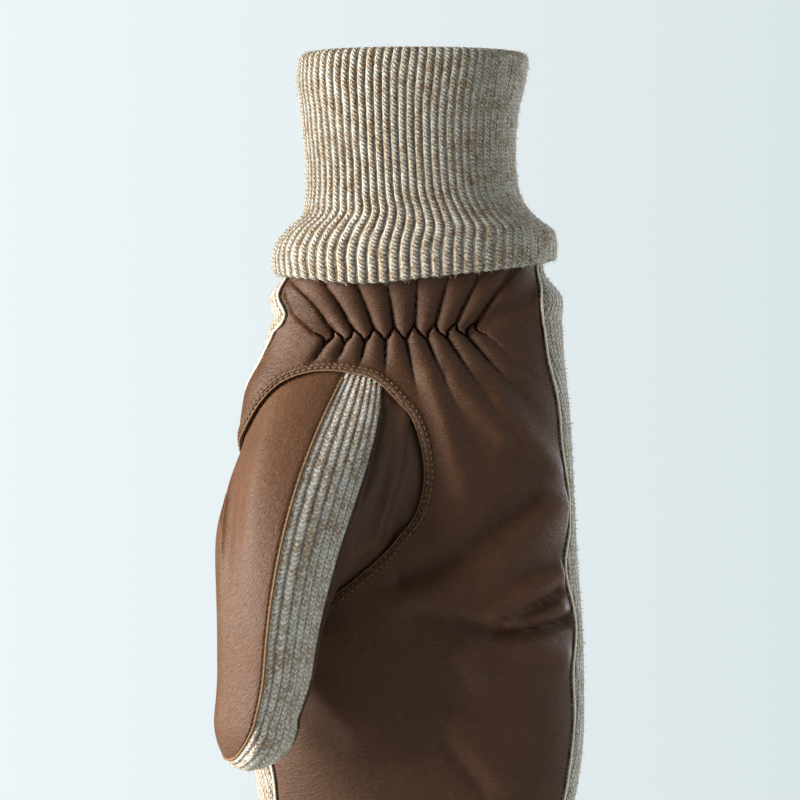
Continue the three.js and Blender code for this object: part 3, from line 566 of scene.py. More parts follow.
# %% [markdown]
# ## From surfaces to meshes
# Each piece is a real wall: an outer face, the same face again inside, and a strip along every
# open edge. A Solidify modifier could do that, but here the inside is as thick as the stuff is,
# and the leather stays thin where it is rolled over at an edge.

# %% Mesh helpers
def grid_faces(rows, columns):
    """Two triangles for each cell of a grid whose rows go down and whose columns go round."""
    a = (np.arange(rows - 1)[:, None] * columns + np.arange(columns - 1)).ravel()
    b = a + columns
    return np.concatenate([np.stack([a, b, b + 1], 1), np.stack([a, b + 1, a + 1], 1)])


def wall(outer, inner, faces):
    """Closed shell of the faces, the same faces turned round inside, and a strip at open edges."""
    n = len(outer)
    edges = np.concatenate([faces[:, [0, 1]], faces[:, [1, 2]], faces[:, [2, 0]]]).astype(np.int64)
    a, b = edges[~np.isin(edges @ [n, 1], edges @ [1, n])].T
    strip = np.concatenate([np.stack([b, a, a + n], 1), np.stack([b, a + n, b + n], 1)])
    return np.concatenate([outer, inner]), np.concatenate([faces, faces[:, ::-1] + n, strip])


def make_piece(name, points, faces, material, node=None, uv=None, marks=None, sharp=60):
    """Mesh object from points in millimetres. Points that agree to half a micron are merged, and
    faces that fall flat by that are dropped. The UV map and marks are what the materials read."""
    corner_uv = None if uv is None else uv[faces]
    places = np.round(points * 2000).astype(np.int64)
    _, first, merged = np.unique(places, axis=0, return_index=True, return_inverse=True)
    faces = merged.reshape(-1)[faces]
    kept = (faces[:, 0] != faces[:, 1]) & (faces[:, 1] != faces[:, 2]) & (faces[:, 2] != faces[:, 0])
    faces = faces[kept]
    mesh = bpy.data.meshes.new(name)
    mesh.from_pydata(points[first] * MM, [], faces)
    if uv is not None:
        layer = mesh.uv_layers.new(name="stitches")
        layer.data.foreach_set("uv", corner_uv[kept].astype(np.float32).ravel())
    for mark, values in (marks or {}).items():
        attribute = mesh.attributes.new(mark, "FLOAT", "POINT")
        attribute.data.foreach_set("value", values[first].astype(np.float32))
    mesh.shade_smooth()
    mesh.set_sharp_from_angle(angle=np.radians(sharp))
    piece = bpy.data.objects.new(name, mesh)
    bpy.context.collection.objects.link(piece)
    mesh.materials.append(material)
    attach(piece, "root")
    if node:
        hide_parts(node)
    print("%s: %d triangles" % (name, len(faces)))


def grid_normals(grid):
    """Unit vectors out of a grid of points whose rows go down: the cross product of its steps."""
    return unit(np.cross(np.gradient(grid, axis=1), -np.gradient(grid, axis=0)))

# %% [markdown]
# ## Colours and nodes
# A colour is written as it looks on a screen, and the shader needs it linear. One helper turns it,
# and one helper adds a node with its settings and its links, so a material reads as a short list.

# %% Material helpers
def linear(hex_colour):
    """sRGB hex to linear: ((c + 0.055) / 1.055)^2.4, or c / 12.92 for the darkest."""
    c = np.array([int(hex_colour[i:i + 2], 16) for i in (1, 3, 5)]) / 255
    return (*np.where(c > 0.04045, ((c + 0.055) / 1.055) ** 2.4, c / 12.92), 1.0)


def add(tree, kind, inputs=None, output=0, **settings):
    """Adds a node and gives back one of its outputs. An input is a value or another output."""
    made = tree.nodes.new("ShaderNode" + kind)
    for name, value in settings.items():
        setattr(made, name, value)
    for key, value in (inputs or {}).items():
        if isinstance(value, bpy.types.NodeSocket):
            tree.links.new(value, made.inputs[key])
        else:
            made.inputs[key].default_value = value
    return made.outputs[output]


def new_material(name, **surface):
    """Material with a Principled surface. The surface's plain values go on its own sockets."""
    material = bpy.data.materials.new(name)
    material.use_nodes = True
    tree = material.node_tree
    shader = tree.nodes["Principled BSDF"]
    for key, value in surface.items():
        shader.inputs[key.replace("_", " ")].default_value = value
    return material, tree, shader

# %% [markdown]
# ## Leather
# Glove leather is sheepskin or goatskin, drum-dyed through and only lightly finished. So it has
# a dull sheen, fine pores and short wrinkles that run across the pull. Its colour is painted
# darker in the folds and lighter on the ridges, as painted shade and painted light. Grain of
# real photographs could be wrapped on, but noise at the grain's own size in millimetres fits
# every fold with no seam.
# To the eye this gives brown with a soft sheen, clouded from afar and finely lined near by.

# %% Grooves of the stitch rows
STITCH_PITCH = 2.1
GROOVE = 0.4


def sewn_rows(tree, distance, run, rows):
    """Depth of the grooves at the stitch rows: a bell exp(-((distance - row) / GROOVE)^2) for each,
    with a deeper hole at each stitch end, by the length along the edge."""
    depth = 0.0
    hole = add(tree, "Math", {0: run, 1: STITCH_PITCH / 2}, operation="PINGPONG")
    hole = add(tree, "MapRange", {
        "Value": hole, "From Min": 0.42, "From Max": 0.1, "To Min": 0.3, "To Max": 1.0})
    for row in rows:
        off = add(tree, "Math", {0: distance, 1: row}, operation="SUBTRACT")
        off = add(tree, "Math", {0: off, 1: 1 / GROOVE}, operation="MULTIPLY")
        off = add(tree, "Math", {0: off, 1: 2.0}, operation="POWER")
        bell = add(tree, "Math", {0: np.exp(-1), 1: off}, operation="POWER")
        depth = add(tree, "Math", {0: bell, 1: hole, 2: depth}, operation="MULTIPLY_ADD")
    return depth


# %% Glove leather
WRINKLE = (0.0019, 0.0019, 0.00042)


def glove_leather(name, light, dark, wrinkle_turn, rows):
    """Drum-dyed glove leather. Tone = clouds 0.9 + relief 0.13 + 0.12, so folds get painted shade and
    ridges painted light. The grooves of wrinkles and stitch rows are darkened too, as painted shade.
    Its bumps are pores of 0.5 mm, wrinkles 1.9 mm long and 0.4 mm apart, waves of 7 mm,
    and the grooves of the stitch rows, which follow the distance from the sewn edge."""
    material, tree, shader = new_material(name, IOR=1.45, Specular_IOR_Level=0.36, Sheen_Weight=0.02)
    place = add(tree, "TexCoord", output="Object")
    turned = add(tree, "Mapping", {
        "Vector": place, "Rotation": (0, wrinkle_turn, 0), "Scale": WRINKLE}, vector_type="TEXTURE")
    wrinkles = add(tree, "TexNoise", {
        "Vector": turned, "Scale": 1.0, "Detail": 3.0, "Roughness": 0.55, "Distortion": 0.5})
    pores = add(tree, "TexVoronoi", {"Vector": place, "Scale": 1900.0}, feature="SMOOTH_F1")
    clouds = add(tree, "TexNoise", {"Vector": place, "Scale": 60.0, "Detail": 5.0, "Roughness": 0.62})
    waves = add(tree, "TexNoise", {"Vector": place, "Scale": 150.0, "Detail": 2.0, "Distortion": 1.2})
    relief = add(tree, "Attribute", output="Fac", attribute_name="relief")
    edge = add(tree, "Attribute", output="Fac", attribute_name="edge")
    run = add(tree, "Attribute", output="Fac", attribute_name="run")
    sewn = sewn_rows(tree, edge, run, rows)

    # Painted shade and painted light: the relief darkens the colour in the folds and lightens it on the
    # ridges.
    tone = add(tree, "Math", {0: relief, 1: 0.13, 2: 0.12}, operation="MULTIPLY_ADD")
    tone = add(tree, "Math", {0: clouds, 1: 0.9, 2: tone}, operation="MULTIPLY_ADD", use_clamp=True)
    tint = add(tree, "Mix", {
        "Factor": tone, "A": linear(dark), "B": linear(light)}, output="Result", data_type="RGBA")
    # Painted shade: the colour is darkened in the wrinkles' grooves and in the stitch grooves and holes.
    shade = add(tree, "MapRange", {
        "Value": wrinkles, "From Min": 0.36, "From Max": 0.58, "To Min": 0.74, "To Max": 1.0})
    shade = add(tree, "Math", {0: sewn, 1: -0.6, 2: shade}, operation="MULTIPLY_ADD", use_clamp=True)
    tint = add(tree, "Mix", {
        "Factor": 1.0, "A": tint, "B": shade}, output="Result", data_type="RGBA", blend_type="MULTIPLY")
    gloss = add(tree, "MapRange", {"Value": clouds, "To Min": 0.42, "To Max": 0.62})

    bump = add(tree, "Bump", {"Height": pores, "Distance": 0.00012, "Strength": 0.45})
    bump = add(tree, "Bump", {"Height": wrinkles, "Distance": 0.00045, "Strength": 0.8, "Normal": bump})
    bump = add(tree, "Bump", {"Height": waves, "Distance": 0.0008, "Strength": 0.22, "Normal": bump})
    bump = add(tree, "Bump", {
        "Height": sewn, "Distance": 0.0003, "Strength": 1.0, "Normal": bump}, invert=True)
    for socket, value in {"Base Color": tint, "Roughness": gloss, "Normal": bump}.items():
        tree.links.new(value, shader.inputs[socket])
    return material


# The rows are millimetres from the sewn edge. The thumb's wrinkles slant more than the palm's.
# The darker colour of each is painted shade in the folds as well as the leather's own clouding.
BAND_ROWS = (1.0, 2.6)
WELT_ROWS = (0.75,)
palm_leather = glove_leather("drum_dyed_palm_leather", "#5b3b23", "#3d2617", -0.25, BAND_ROWS)
thumb_leather = glove_leather("drum_dyed_thumb_leather", "#62432c", "#4d3323", -0.75, WELT_ROWS)
inner_leather = glove_leather("drum_dyed_inner_leather", "#573c29", "#3c281a", -0.5, WELT_ROWS)
print("leathers:", palm_leather.name, thumb_leather.name, inner_leather.name)

# %% [markdown]
# ## Wool
# The yarn is heather wool: fibres of cream, beige, brown, orange and grey are carded together
# before spinning, so each stitch has its own flecks. Plain knitting shows columns of little Vs.
# A V is two yarn legs side by side, so its height is a sine across each leg times a wave that
# climbs along it. Loops modelled one by one would take millions of faces, so here they are bump.
# To the eye this gives a matt beige that is warm and mottled, with painted shade darkening the gap
# round each stitch.

# %% Heather wool
HEATHER = [(0.38, "#bfa27e"), (0.45, "#d8ccb4"), (0.6, "#f6f4ea"), (0.66, "#cfb595"), (0.76, "#a3a09a")]


def heather_wool(name, light, dark, slant, depth, gaps):
    """Knitted heather wool. The UV map counts wales across and courses along. Height = leg times
    (1 + gap (cos(2 pi climb) - 1)), where leg is |sin|^0.6 across each of a V's two legs, climb is
    the course plus slant along the leg, and gap is how deep two stitches part, for the left leg and
    for the right. The sign of slant says which way the Vs point. Fibres are drawn at 0.4 mm, coarser
    than real ones, because finer would not show."""
    material, tree, shader = new_material(
        name, Roughness=0.95, Specular_IOR_Level=0.2, Sheen_Weight=0.35, Sheen_Roughness=0.6)
    stitch = add(tree, "UVMap", uv_map="stitches")
    place = add(tree, "TexCoord", output="Object")
    drift = add(tree, "TexNoise", {"Vector": place, "Scale": 260.0, "Detail": 2.0}, output="Color")
    moved = add(tree, "VectorMath", {0: drift, 1: (0.3, 0.7, 0.0), 2: stitch}, operation="MULTIPLY_ADD")
    wale = add(tree, "SeparateXYZ", {"Vector": moved}, output="X")
    course = add(tree, "SeparateXYZ", {"Vector": moved}, output="Y")
    side = add(tree, "Math", {0: wale, 1: 1.0}, operation="PINGPONG")
    side = add(tree, "Math", {0: side, 1: 0.5}, operation="PINGPONG")
    leg = add(tree, "Math", {0: side, 1: np.pi * 2}, operation="MULTIPLY")
    leg = add(tree, "Math", {0: leg}, operation="SINE")
    leg = add(tree, "Math", {0: leg, 1: 0.6}, operation="POWER")
    leg = add(tree, "Math", {0: leg, 1: 0.4, 2: 0.6}, operation="MULTIPLY_ADD")
    column = add(tree, "Math", {0: side, 1: np.pi}, operation="MULTIPLY")
    column = add(tree, "Math", {0: column}, operation="SINE")
    column = add(tree, "Math", {0: column, 1: 0.6}, operation="POWER")
    leg = add(tree, "Math", {0: leg, 1: column}, operation="MULTIPLY")
    half = add(tree, "Math", {0: wale}, operation="FRACT")
    gap = add(tree, "MapRange", {
        "Value": half, "From Min": 0.4, "From Max": 0.6, "To Min": gaps[0], "To Max": gaps[1]})
    climb = add(tree, "Math", {0: side, 1: slant * 2, 2: course}, operation="MULTIPLY_ADD")
    climb = add(tree, "Math", {0: climb, 1: np.pi * 2}, operation="MULTIPLY")
    wave = add(tree, "Math", {0: climb}, operation="COSINE")
    wave = add(tree, "Math", {0: wave, 1: 1.0}, operation="SUBTRACT")
    wave = add(tree, "Math", {0: wave, 1: gap, 2: 1.0}, operation="MULTIPLY_ADD")
    height = add(tree, "Math", {0: leg, 1: wave}, operation="MULTIPLY")

    fibres = add(tree, "TexNoise", {"Vector": place, "Scale": 2600.0, "Detail": 3.0, "Roughness": 0.7})
    rough = add(tree, "Math", {0: fibres, 1: 0.8, 2: height}, operation="MULTIPLY_ADD")
    flecks = add(tree, "Mapping", {"Vector": moved, "Scale": (3.1, 1.0, 1.0)})
    flecks = add(tree, "TexNoise", {"Vector": flecks, "Scale": 1.0, "Detail": 5.0, "Roughness": 0.75})
    patch = add(tree, "Mapping", {
        "Vector": moved, "Scale": (0.55, 0.22, 1.0), "Location": (9.0, 4.0, 0.0)})
    patch = add(tree, "TexNoise", {"Vector": patch, "Scale": 1.0, "Detail": 3.0, "Roughness": 0.6})
    flecks = add(tree, "Math", {0: patch, 1: 0.5, 2: flecks}, operation="MULTIPLY_ADD")
    flecks = add(tree, "Math", {0: flecks, 1: 0.28}, operation="SUBTRACT")
    ramp = add(tree, "ValToRGB", {"Fac": flecks})
    stops = sorted([(0.26, dark), (0.52, light)] + HEATHER)
    elements = ramp.node.color_ramp.elements
    for _ in stops[2:]:
        elements.new(0.5)
    for element, (at, colour) in zip(elements, stops):
        element.position = at
        element.color = linear(colour)
    # Painted shade: the colour is darkened where the height is low, in the gaps round each stitch and in
    # the grooves between ribs.
    shade = add(tree, "MapRange", {"Value": height, "From Max": 0.8, "To Min": 0.12, "To Max": 1.0})
    tint = add(tree, "Mix", {
        "Factor": 1.0, "A": ramp, "B": shade}, output="Result", data_type="RGBA", blend_type="MULTIPLY")
    bump = add(tree, "Bump", {"Height": rough, "Distance": depth * MM, "Strength": 1.0})
    for socket, value in {"Base Color": tint, "Normal": bump}.items():
        tree.links.new(value, shader.inputs[socket])
    return material


cuff_wool = heather_wool("heather_rib_knit", "#eeeadb", "#97795a", 0.9, 0.9, (0.12, 0.42))
back_wool = heather_wool("heather_plain_knit", "#eeeadb", "#9c7f61", -0.8, 0.7, (0.34, 0.34))
# Painted light: the strip's wool is painted lighter, with shallower painted gaps, for light that its side
# turned from the key does not get.
strip_wool_painted_light = heather_wool("heather_strip_knit_painted_light", "#fbf8f0", "#b2957a", -0.8, 0.6, (0.26, 0.26))
print("wools:", cuff_wool.name, back_wool.name, strip_wool_painted_light.name)

# %% [markdown]
# ## Palm
# The palm is cut from one skin. Its grid is finest at the gather, where a pleat is only six
# millimetres wide. Points just inside the thumb's opening are slid out to its edge, so the hole
# has a clean rim. Round it the leather is folded under and sewn down twice, which leaves a low
# band, and at the long seams it rolls down into the seam.

# %% Edges of the palm
BAND = {"width": 2.9, "height": 0.45, "fade": 0.7}
ROLL = {"seam": (1.0, 0.9), "opening": (0.8, 0.7), "panel": (0.5, 0.7), "knit": (0.9, 0.9)}


def roll(edge, distance):
    """How far the stuff rolls down beside an edge: depth exp(-(distance / breadth)^2)."""
    depth, breadth = ROLL[edge]
    return depth * np.exp(-((distance / breadth) ** 2))


def end_rows(count):
    """Heights over the rounded end, closer together near the tip by a quarter sine."""
    turn = np.sin(np.pi / 2 * np.linspace(0, 1, count))
    return mix(ROUND_END - HAND_LENGTH, -HAND_LENGTH, turn)


def apart(points, z, way):
    """Palm and back are moved apart at the rounded end, so that they stay two pieces."""
    past = np.clip((-z - (HAND_LENGTH - ROUND_END)) / ROUND_END, 0, 1)
    return points + np.stack([0 * past, way * past * GAP / 2, 0 * past], -1)


def seam_angle(side, z, way):
    """Angle of a long seam, moved by half a gap to one side."""
    angle = read(SEAMS, "level", side, hand_level(z))
    degree = np.linalg.norm(hand_point(angle + 0.5, z) - hand_point(angle - 0.5, z), axis=-1)
    return angle + way * np.minimum(2, GAP / 2 / np.maximum(degree, 1e-6))


# %% Grid of the palm
GATHER = {"left": -37, "right": 30, "top": 26, "end": -24}


def palm_grid():
    """Angles and heights in rows and columns. At the gather the columns are even in x, whose angle is
    the arc sine of (x / half width)^(2.3 / 2), and beside it they spread to the two seams."""
    rows = np.concatenate([
        np.linspace(HEM_RISE, GATHER["top"], 4)[:-1],
        np.linspace(GATHER["top"], GATHER["end"], 90)[:-1],
        np.linspace(GATHER["end"], ROUND_END - HAND_LENGTH, 80)[:-1],
        end_rows(32)])
    middle, half_width, _ = hand_section(np.array(0.0))
    share = (np.linspace(GATHER["left"], GATHER["right"], 112) - middle) / half_width
    fixed = np.degrees(np.arcsin(signed_power(share, SECTION_POWER / 2)))
    left, right = seam_angle("left", rows, 1)[:, None], seam_angle("right", rows, -1)[:, None]
    angle = np.concatenate([
        mix(left, fixed[0], np.linspace(0, 1, 41)[:-1]),
        np.tile(fixed, (len(rows), 1)),
        mix(fixed[-1], right, np.linspace(0, 1, 28)[1:])], 1)
    return angle, np.broadcast_to(rows[:, None], angle.shape)


# %% Palm
def make_palm():
    """The outer face is the hand moved by relief, band and rolled edges, and the inner one lies a
    leather's thickness below the plain relief. Cells wholly inside the opening are left out."""
    angle, z = palm_grid()
    faces = grid_faces(*angle.shape)
    angle, z = angle.ravel(), z.ravel()
    out = outside_opening(angle, z)
    faces = faces[(out[faces] > 0).any(1)]
    used = np.unique(faces)
    faces = np.searchsorted(used, faces)
    angle, z, out = angle[used], z[used], out[used]
    pull = np.where(out < 0, 1 / (out + 1), 1)
    angle, z = mix(OPENING_MIDDLE["angle"], angle, pull), mix(OPENING_Z, z, pull)
    plain = palm_relief(angle, z)
    seam = np.minimum(seam_distance(angle, z, "left"), seam_distance(angle, z, "right"))
    rim, rim_length = to_opening(hand_point(angle, z))
    relief = plain + BAND["height"] * (1 - smoothstep((rim - BAND["width"]) / BAND["fade"] + 0.5))
    relief = relief - roll("opening", rim) - roll("seam", seam)
    outer = apart(palm_point(angle, z, 0, relief), z, -1)
    inner = apart(palm_point(angle, z, LEATHER, plain), z, -1)
    points, faces = wall(outer, inner, faces)
    marks = {"relief": np.tile(plain, 2), "edge": np.tile(rim, 2), "run": np.tile(rim_length, 2)}
    make_piece("palm_leather", points, faces, palm_leather, "palm", marks=marks)


make_palm()

# %% [markdown]
# ## Back
# The back is one knitted piece. A wale is one column of its stitches and a course is one row. The
# wales run straight down and the edges are cut through them, so the UV map counts wales by the
# length round the hand from the middle of the back, and courses by the length down it. The wall
# itself can stay smooth, because stitches as flat as these show only in light and tone.

# %% Back
KNIT_PROUD = 0.8
WALE = 2.15
COURSE = {"back": 1.6, "strip": 1.6, "cuff": 1.35}


def run_along(points, axis):
    """Length along a grid of points from its first row or column, by summing the steps."""
    steps = np.linalg.norm(np.diff(points, axis=axis), axis=-1)
    return np.concatenate([np.zeros_like(np.take(steps, [0], axis)), np.cumsum(steps, axis)], axis)


def make_back():
    """The outer face stands KNIT_PROUD out from the hand less the roll at its seams, and the inner
    face lies the rest of the knit's thickness in. Wale = (length round - length at the middle) /
    WALE, and course = mean length down / COURSE."""
    rows = np.concatenate([np.linspace(HEM_RISE, ROUND_END - HAND_LENGTH, 110)[:-1], end_rows(40)])
    share = np.linspace(0, 1, 151)
    right, left = seam_angle("right", rows, 1)[:, None], 360 + seam_angle("left", rows, -1)[:, None]
    angle = mix(right, left, share)
    z = np.broadcast_to(rows[:, None], angle.shape)
    edge = np.minimum(np.abs(angle - right), np.abs(left - angle))
    degree = np.linalg.norm(hand_point(angle + 0.5, z) - hand_point(angle - 0.5, z), axis=-1)
    proud = KNIT_PROUD - roll("knit", edge * degree)
    normal = hand_normal(angle, z)
    outer = apart(hand_point(angle, z) + proud[..., None] * normal, z, 1)
    inner = apart(hand_point(angle, z) - (KNIT - KNIT_PROUD) * normal, z, 1)
    round_run, down_run = run_along(outer, 1), run_along(outer, 0)
    centre = (180 - right) / (left - right) * (len(share) - 1)
    low = np.floor(centre).astype(int)
    at_low = np.take_along_axis(round_run, low, 1)
    at_high = np.take_along_axis(round_run, low + 1, 1)
    wale = (round_run - mix(at_low, at_high, centre - low)) / WALE
    course = np.broadcast_to(down_run.mean(1, keepdims=True), wale.shape) / COURSE["back"]
    uv = np.stack([wale, course], -1).reshape(-1, 2)
    points, faces = wall(outer.reshape(-1, 3), inner.reshape(-1, 3), grid_faces(*angle.shape))
    make_piece("back_knit", points, faces, back_wool, "back", uv=np.tile(uv, (2, 1)))
    return outer


back_surface = make_back()

# %% [markdown]
# ## Thumb panels
# Each panel is a ruled patch between two seams, and it ends in a rounded tongue at the tip. The
# tongue is drawn on a disc whose rim is the end of the tube and whose middle is the tip. Panels
# could be cut out of one sleeve, but then their rows would not run along the seams.

# %% Tongues on the tip
def beside(angle, stage, way, distance=GAP / 2):
    """A seam's angle moved by a distance to one side: angle + distance / millimetres a degree."""
    near = np.linalg.norm(sleeve(angle, stage) - sleeve(angle + way, stage), axis=-1)
    return angle + way * distance / near


def on_disc(angle):
    """Point on the rim of the disc."""
    a = np.radians(angle)
    return np.stack([np.cos(a), np.sin(a)], -1)


def tongue_curve(start, end, reach, t):
    """Quadratic Bezier on the disc from one seam to the next, whose middle lies at reach."""
    chord = np.cos(np.radians((end - start) / 2))
    control = on_disc((start + end) / 2) * (2 * reach - chord)
    t = t[:, None]
    return (1 - t) ** 2 * on_disc(start) + 2 * t * (1 - t) * control + t * t * on_disc(end)


def from_disc(points):
    """Angle round the tube and stage of points on the disc."""
    radius = np.linalg.norm(points, axis=-1)
    return np.degrees(np.arctan2(points[..., 1], points[..., 0])), 4 - np.minimum(1, radius)


def ruled_on_disc(a, b, columns, bow):
    """Rows of points from a to b, whose distance from the middle goes from curved to straight."""
    share = np.linspace(0, 1, columns)[:, None]
    straight = mix(a[:, None], b[:, None], share)
    length = np.linalg.norm(straight, axis=-1, keepdims=True)
    from_a, from_b = (np.linalg.norm(end, axis=-1)[:, None, None] for end in (a, b))
    curved = mix(from_a, from_b, share)
    return from_disc(unit(straight) * mix(length, curved, bow[:, None, None]))


# %% Leather panels of the thumb
DISC_GAP = GAP / (np.pi * THUMB_CAP)
TONGUE_ROWS = 24
stages = np.concatenate([
    np.linspace(0, 1, 8)[:-1],
    1 + np.linspace(0, 1, 90)[:-1],
    2 + np.linspace(0, 1, 34)[:-1]])


def leg_rows(start, end, stages, columns):
    """Angles and stages of a panel's straight rows, half a gap inside its two seams."""
    way = np.sign(end - start)
    a, b = beside(start, stages, way), beside(end, stages, -way)
    angle = mix(a[:, None], b[:, None], np.linspace(0, 1, columns))
    return angle, np.broadcast_to(stages[:, None], angle.shape)


def leather_panel(name, node, material, seams, reach, columns, extra=None):
    """Panel between two seams, with a tongue at the tip. The outer face is the sleeve less the roll
    at the edge, and the inner face lies a leather's thickness in."""
    from_angle, to_angle = seams
    legs = leg_rows(from_angle, to_angle, stages, columns)
    down_tongue = np.linspace(0, 1, TONGUE_ROWS)
    t = 0.5 * np.sin(np.pi / 2 * down_tongue)
    ends = beside(from_angle, 3, 1), beside(to_angle, 3, -1)
    a, b = (tongue_curve(*ends, reach + DISC_GAP, part) for part in (t, 1 - t))
    tip = ruled_on_disc(a, b, columns, 1 - down_tongue)
    angle, stage = (np.concatenate(pair) for pair in zip(legs, tip))
    outer, normal = sleeve(angle, stage), sleeve_normal(angle, stage)
    across = run_along(outer, 1)
    edge = np.minimum(across, across[:, -1:] - across)
    lift = (0 if extra is None else extra(outer)) - roll("panel", edge)
    inner = outer - LEATHER * normal
    outer = outer + lift[..., None] * normal
    points, faces = wall(outer.reshape(-1, 3), inner.reshape(-1, 3), grid_faces(*angle.shape))
    marks = {"relief": 0 * lift, "edge": edge, "run": run_along(outer, 0)}
    marks = {key: np.tile(value.ravel(), 2) for key, value in marks.items()}
    make_piece(name, points, faces, material, node, marks=marks)


leather_panel("thumb_front_leather", "thumb_front", thumb_leather,
              (THUMB_SEAMS["front"][0], 360), TONGUE_REACH["front"], 60)

# %% Folds of the inner panel
INNER_FOLDS = table("across level across_end level_end breadth height", [
    [-0.05, 0.13, -0.09, 0.21, 0.016, 0.5],
    [-0.09, 0.21, -0.24, 0.34, 0.018, 0.6],
    [-0.19, 0.13, -0.3, 0.27, 0.022, -0.5],
    [-0.3, 0.27, -0.36, 0.36, 0.02, -0.4],
    [-0.02, 0.26, -0.14, 0.36, 0.016, -0.4],
])
leather_panel("thumb_inner_leather", "thumb_inner", inner_leather,
              (THUMB_SEAMS["strip"][0], THUMB_SEAMS["inner"][0]), TONGUE_REACH["inner"], 60,
              lambda points: ridges(INNER_FOLDS, points[..., 0], points[..., 2]))

# %% [markdown]
# ## Knitted strip
# One long strip of plain knitting starts at the palm, runs down the thumb beside the welt, turns
# over the tip and runs up again on the far side. So it is one grid too, of seven wales.

# %% Knitted strip
STRIP_KNIT = 2.2
STRIP_WALES = 7
WALE_RISE = 0.5
WALE_SINK = 0.35


def make_strip():
    """Rows down one side, over the tip and up the other. The outer face is the sleeve moved by
    WALE_RISE |sin(pi wale)| - WALE_SINK, so each wale is a low round ridge."""
    columns = 4 * STRIP_WALES + 1
    down = leg_rows(THUMB_SEAMS["welt"][0], THUMB_SEAMS["strip"][0], stages, columns)
    up = leg_rows(THUMB_SEAMS["front"][0], THUMB_SEAMS["inner"][0], stages[::-1], columns)
    t = np.linspace(0, 1, 60)
    front = beside(THUMB_SEAMS["welt"][0], 3, 1), beside(THUMB_SEAMS["front"][0], 3, -1) - 360
    inner = beside(THUMB_SEAMS["strip"][0], 3, -1), beside(THUMB_SEAMS["inner"][0], 3, 1)
    a = tongue_curve(*front, TONGUE_REACH["front"] - DISC_GAP, t)
    b = tongue_curve(*inner, TONGUE_REACH["inner"] - DISC_GAP, t)
    tip = ruled_on_disc(a, b, columns, np.abs(2 * t - 1) ** 2)
    angle, stage = (np.concatenate(parts) for parts in zip(down, tip, up))
    outer, normal = sleeve(angle, stage), sleeve_normal(angle, stage)
    wale = np.broadcast_to(np.linspace(0, STRIP_WALES, columns), angle.shape)
    down_run = run_along(outer, 0).mean(1, keepdims=True)
    course = np.broadcast_to(down_run, angle.shape) / COURSE["strip"]
    inner = outer - STRIP_KNIT * normal
    outer = outer + (WALE_RISE * np.abs(np.sin(np.pi * wale)) - WALE_SINK)[..., None] * normal
    points, faces = wall(outer.reshape(-1, 3), inner.reshape(-1, 3), grid_faces(*angle.shape))
    uv = np.tile(np.stack([wale, course], -1).reshape(-1, 2), (2, 1))
    make_piece("thumb_strip_knit", points, faces, strip_wool_painted_light, "thumb_strip", uv=uv)
    return outer


strip_surface = make_strip()

# %% [markdown]
# ## Cuff
# The cuff is knitted in one-and-one rib, which draws in and stretches, and it is turned down once.
# Its profile is one closed loop: over the fold, down the outside, round the free edge, up to the
# leather, and down and up the layer inside. Carrying that loop round the wrist gives the cuff. The
# ribs are real ridges, because they show in its outline, and the stitches on them are bump.

# %% Sizes and sections of the cuff
CUFF_HEIGHT = 95
CUFF_WIDTH = 80
CUFF_DEPTH = 52
CUFF_LAYER = 2.8
CUFF_TUCK = 9
CUFF_SECTIONS = table("level left right depth", [
    [0.14, 1.2, 1.217, 1.06],
    [0.2, 1.212, 1.227, 1.09],
    [0.255, 1.225, 1.232, 1.09],
    [0.305, 1.2, 1.232, 1.08],
    [0.363, 1.105, 1.2, 1.03],
    [0.41, 0.975, 1.052, 0.96],
    [0.47, 0.94, 0.94, 0.93],
    [0.57, 0.932, 0.888, 0.92],
    [0.68, 0.95, 0.88, 0.94],
    [0.79, 0.975, 0.905, 0.97],
    [0.905, 1.01, 0.965, 1.0],
    [1.0, 0.995, 1.0, 1.0],
])
FREE_EDGE = table("angle level", [
    [-180, 0.21],
    [-90, 0.2],
    [-50, 0.178],
    [-12, 0.16],
    [8, 0.185],
    [30, 0.205],
    [55, 0.228],
    [90, 0.255],
    [135, 0.235],
    [180, 0.21],
])


def cuff_section(z):
    """Middle, half width and half depth of the cuff from its table."""
    level = z / CUFF_HEIGHT
    left = read(CUFF_SECTIONS, "level", "left", level) * CUFF_WIDTH / 2
    right = read(CUFF_SECTIONS, "level", "right", level) * CUFF_WIDTH / 2
    depth = read(CUFF_SECTIONS, "level", "depth", level) * CUFF_DEPTH / 2
    return (right - left) / 2, (right + left) / 2, depth


# %% Ribs round the cuff
RIB_PITCH = 2.7
RIB_COLUMNS = 6
RIB_LEVEL = 0.6


def cuff_ribs():
    """Rib numbers round the cuff and the angle of each: the ribs are even in length round the
    section at RIB_LEVEL of the height."""
    turn = np.linspace(-180, 180, 1441)
    girth = run_along(on_section(cuff_section(np.array(RIB_LEVEL * CUFF_HEIGHT)), turn, 0.0), 0)
    ribs = round(girth[-1] / RIB_PITCH)
    rib = np.linspace(0, ribs, RIB_COLUMNS * ribs + 1)
    print("cuff: %d ribs in %.0f mm" % (ribs, girth[-1]))
    return rib, np.interp(rib / ribs * girth[-1], girth, turn)


# %% Profile of the cuff
INNER_BLEND = 22


def profile_rows(z, depth, on_cuff=1.0, ribbed=1.0):
    """Rows of the profile: height, depth under the outer face, share of the cuff's section against
    the hand's, and how much of the rib shows."""
    parts = np.broadcast_arrays(np.asarray(z, float), np.asarray(depth, float), on_cuff, ribbed)
    return [np.array(part, float) for part in parts]


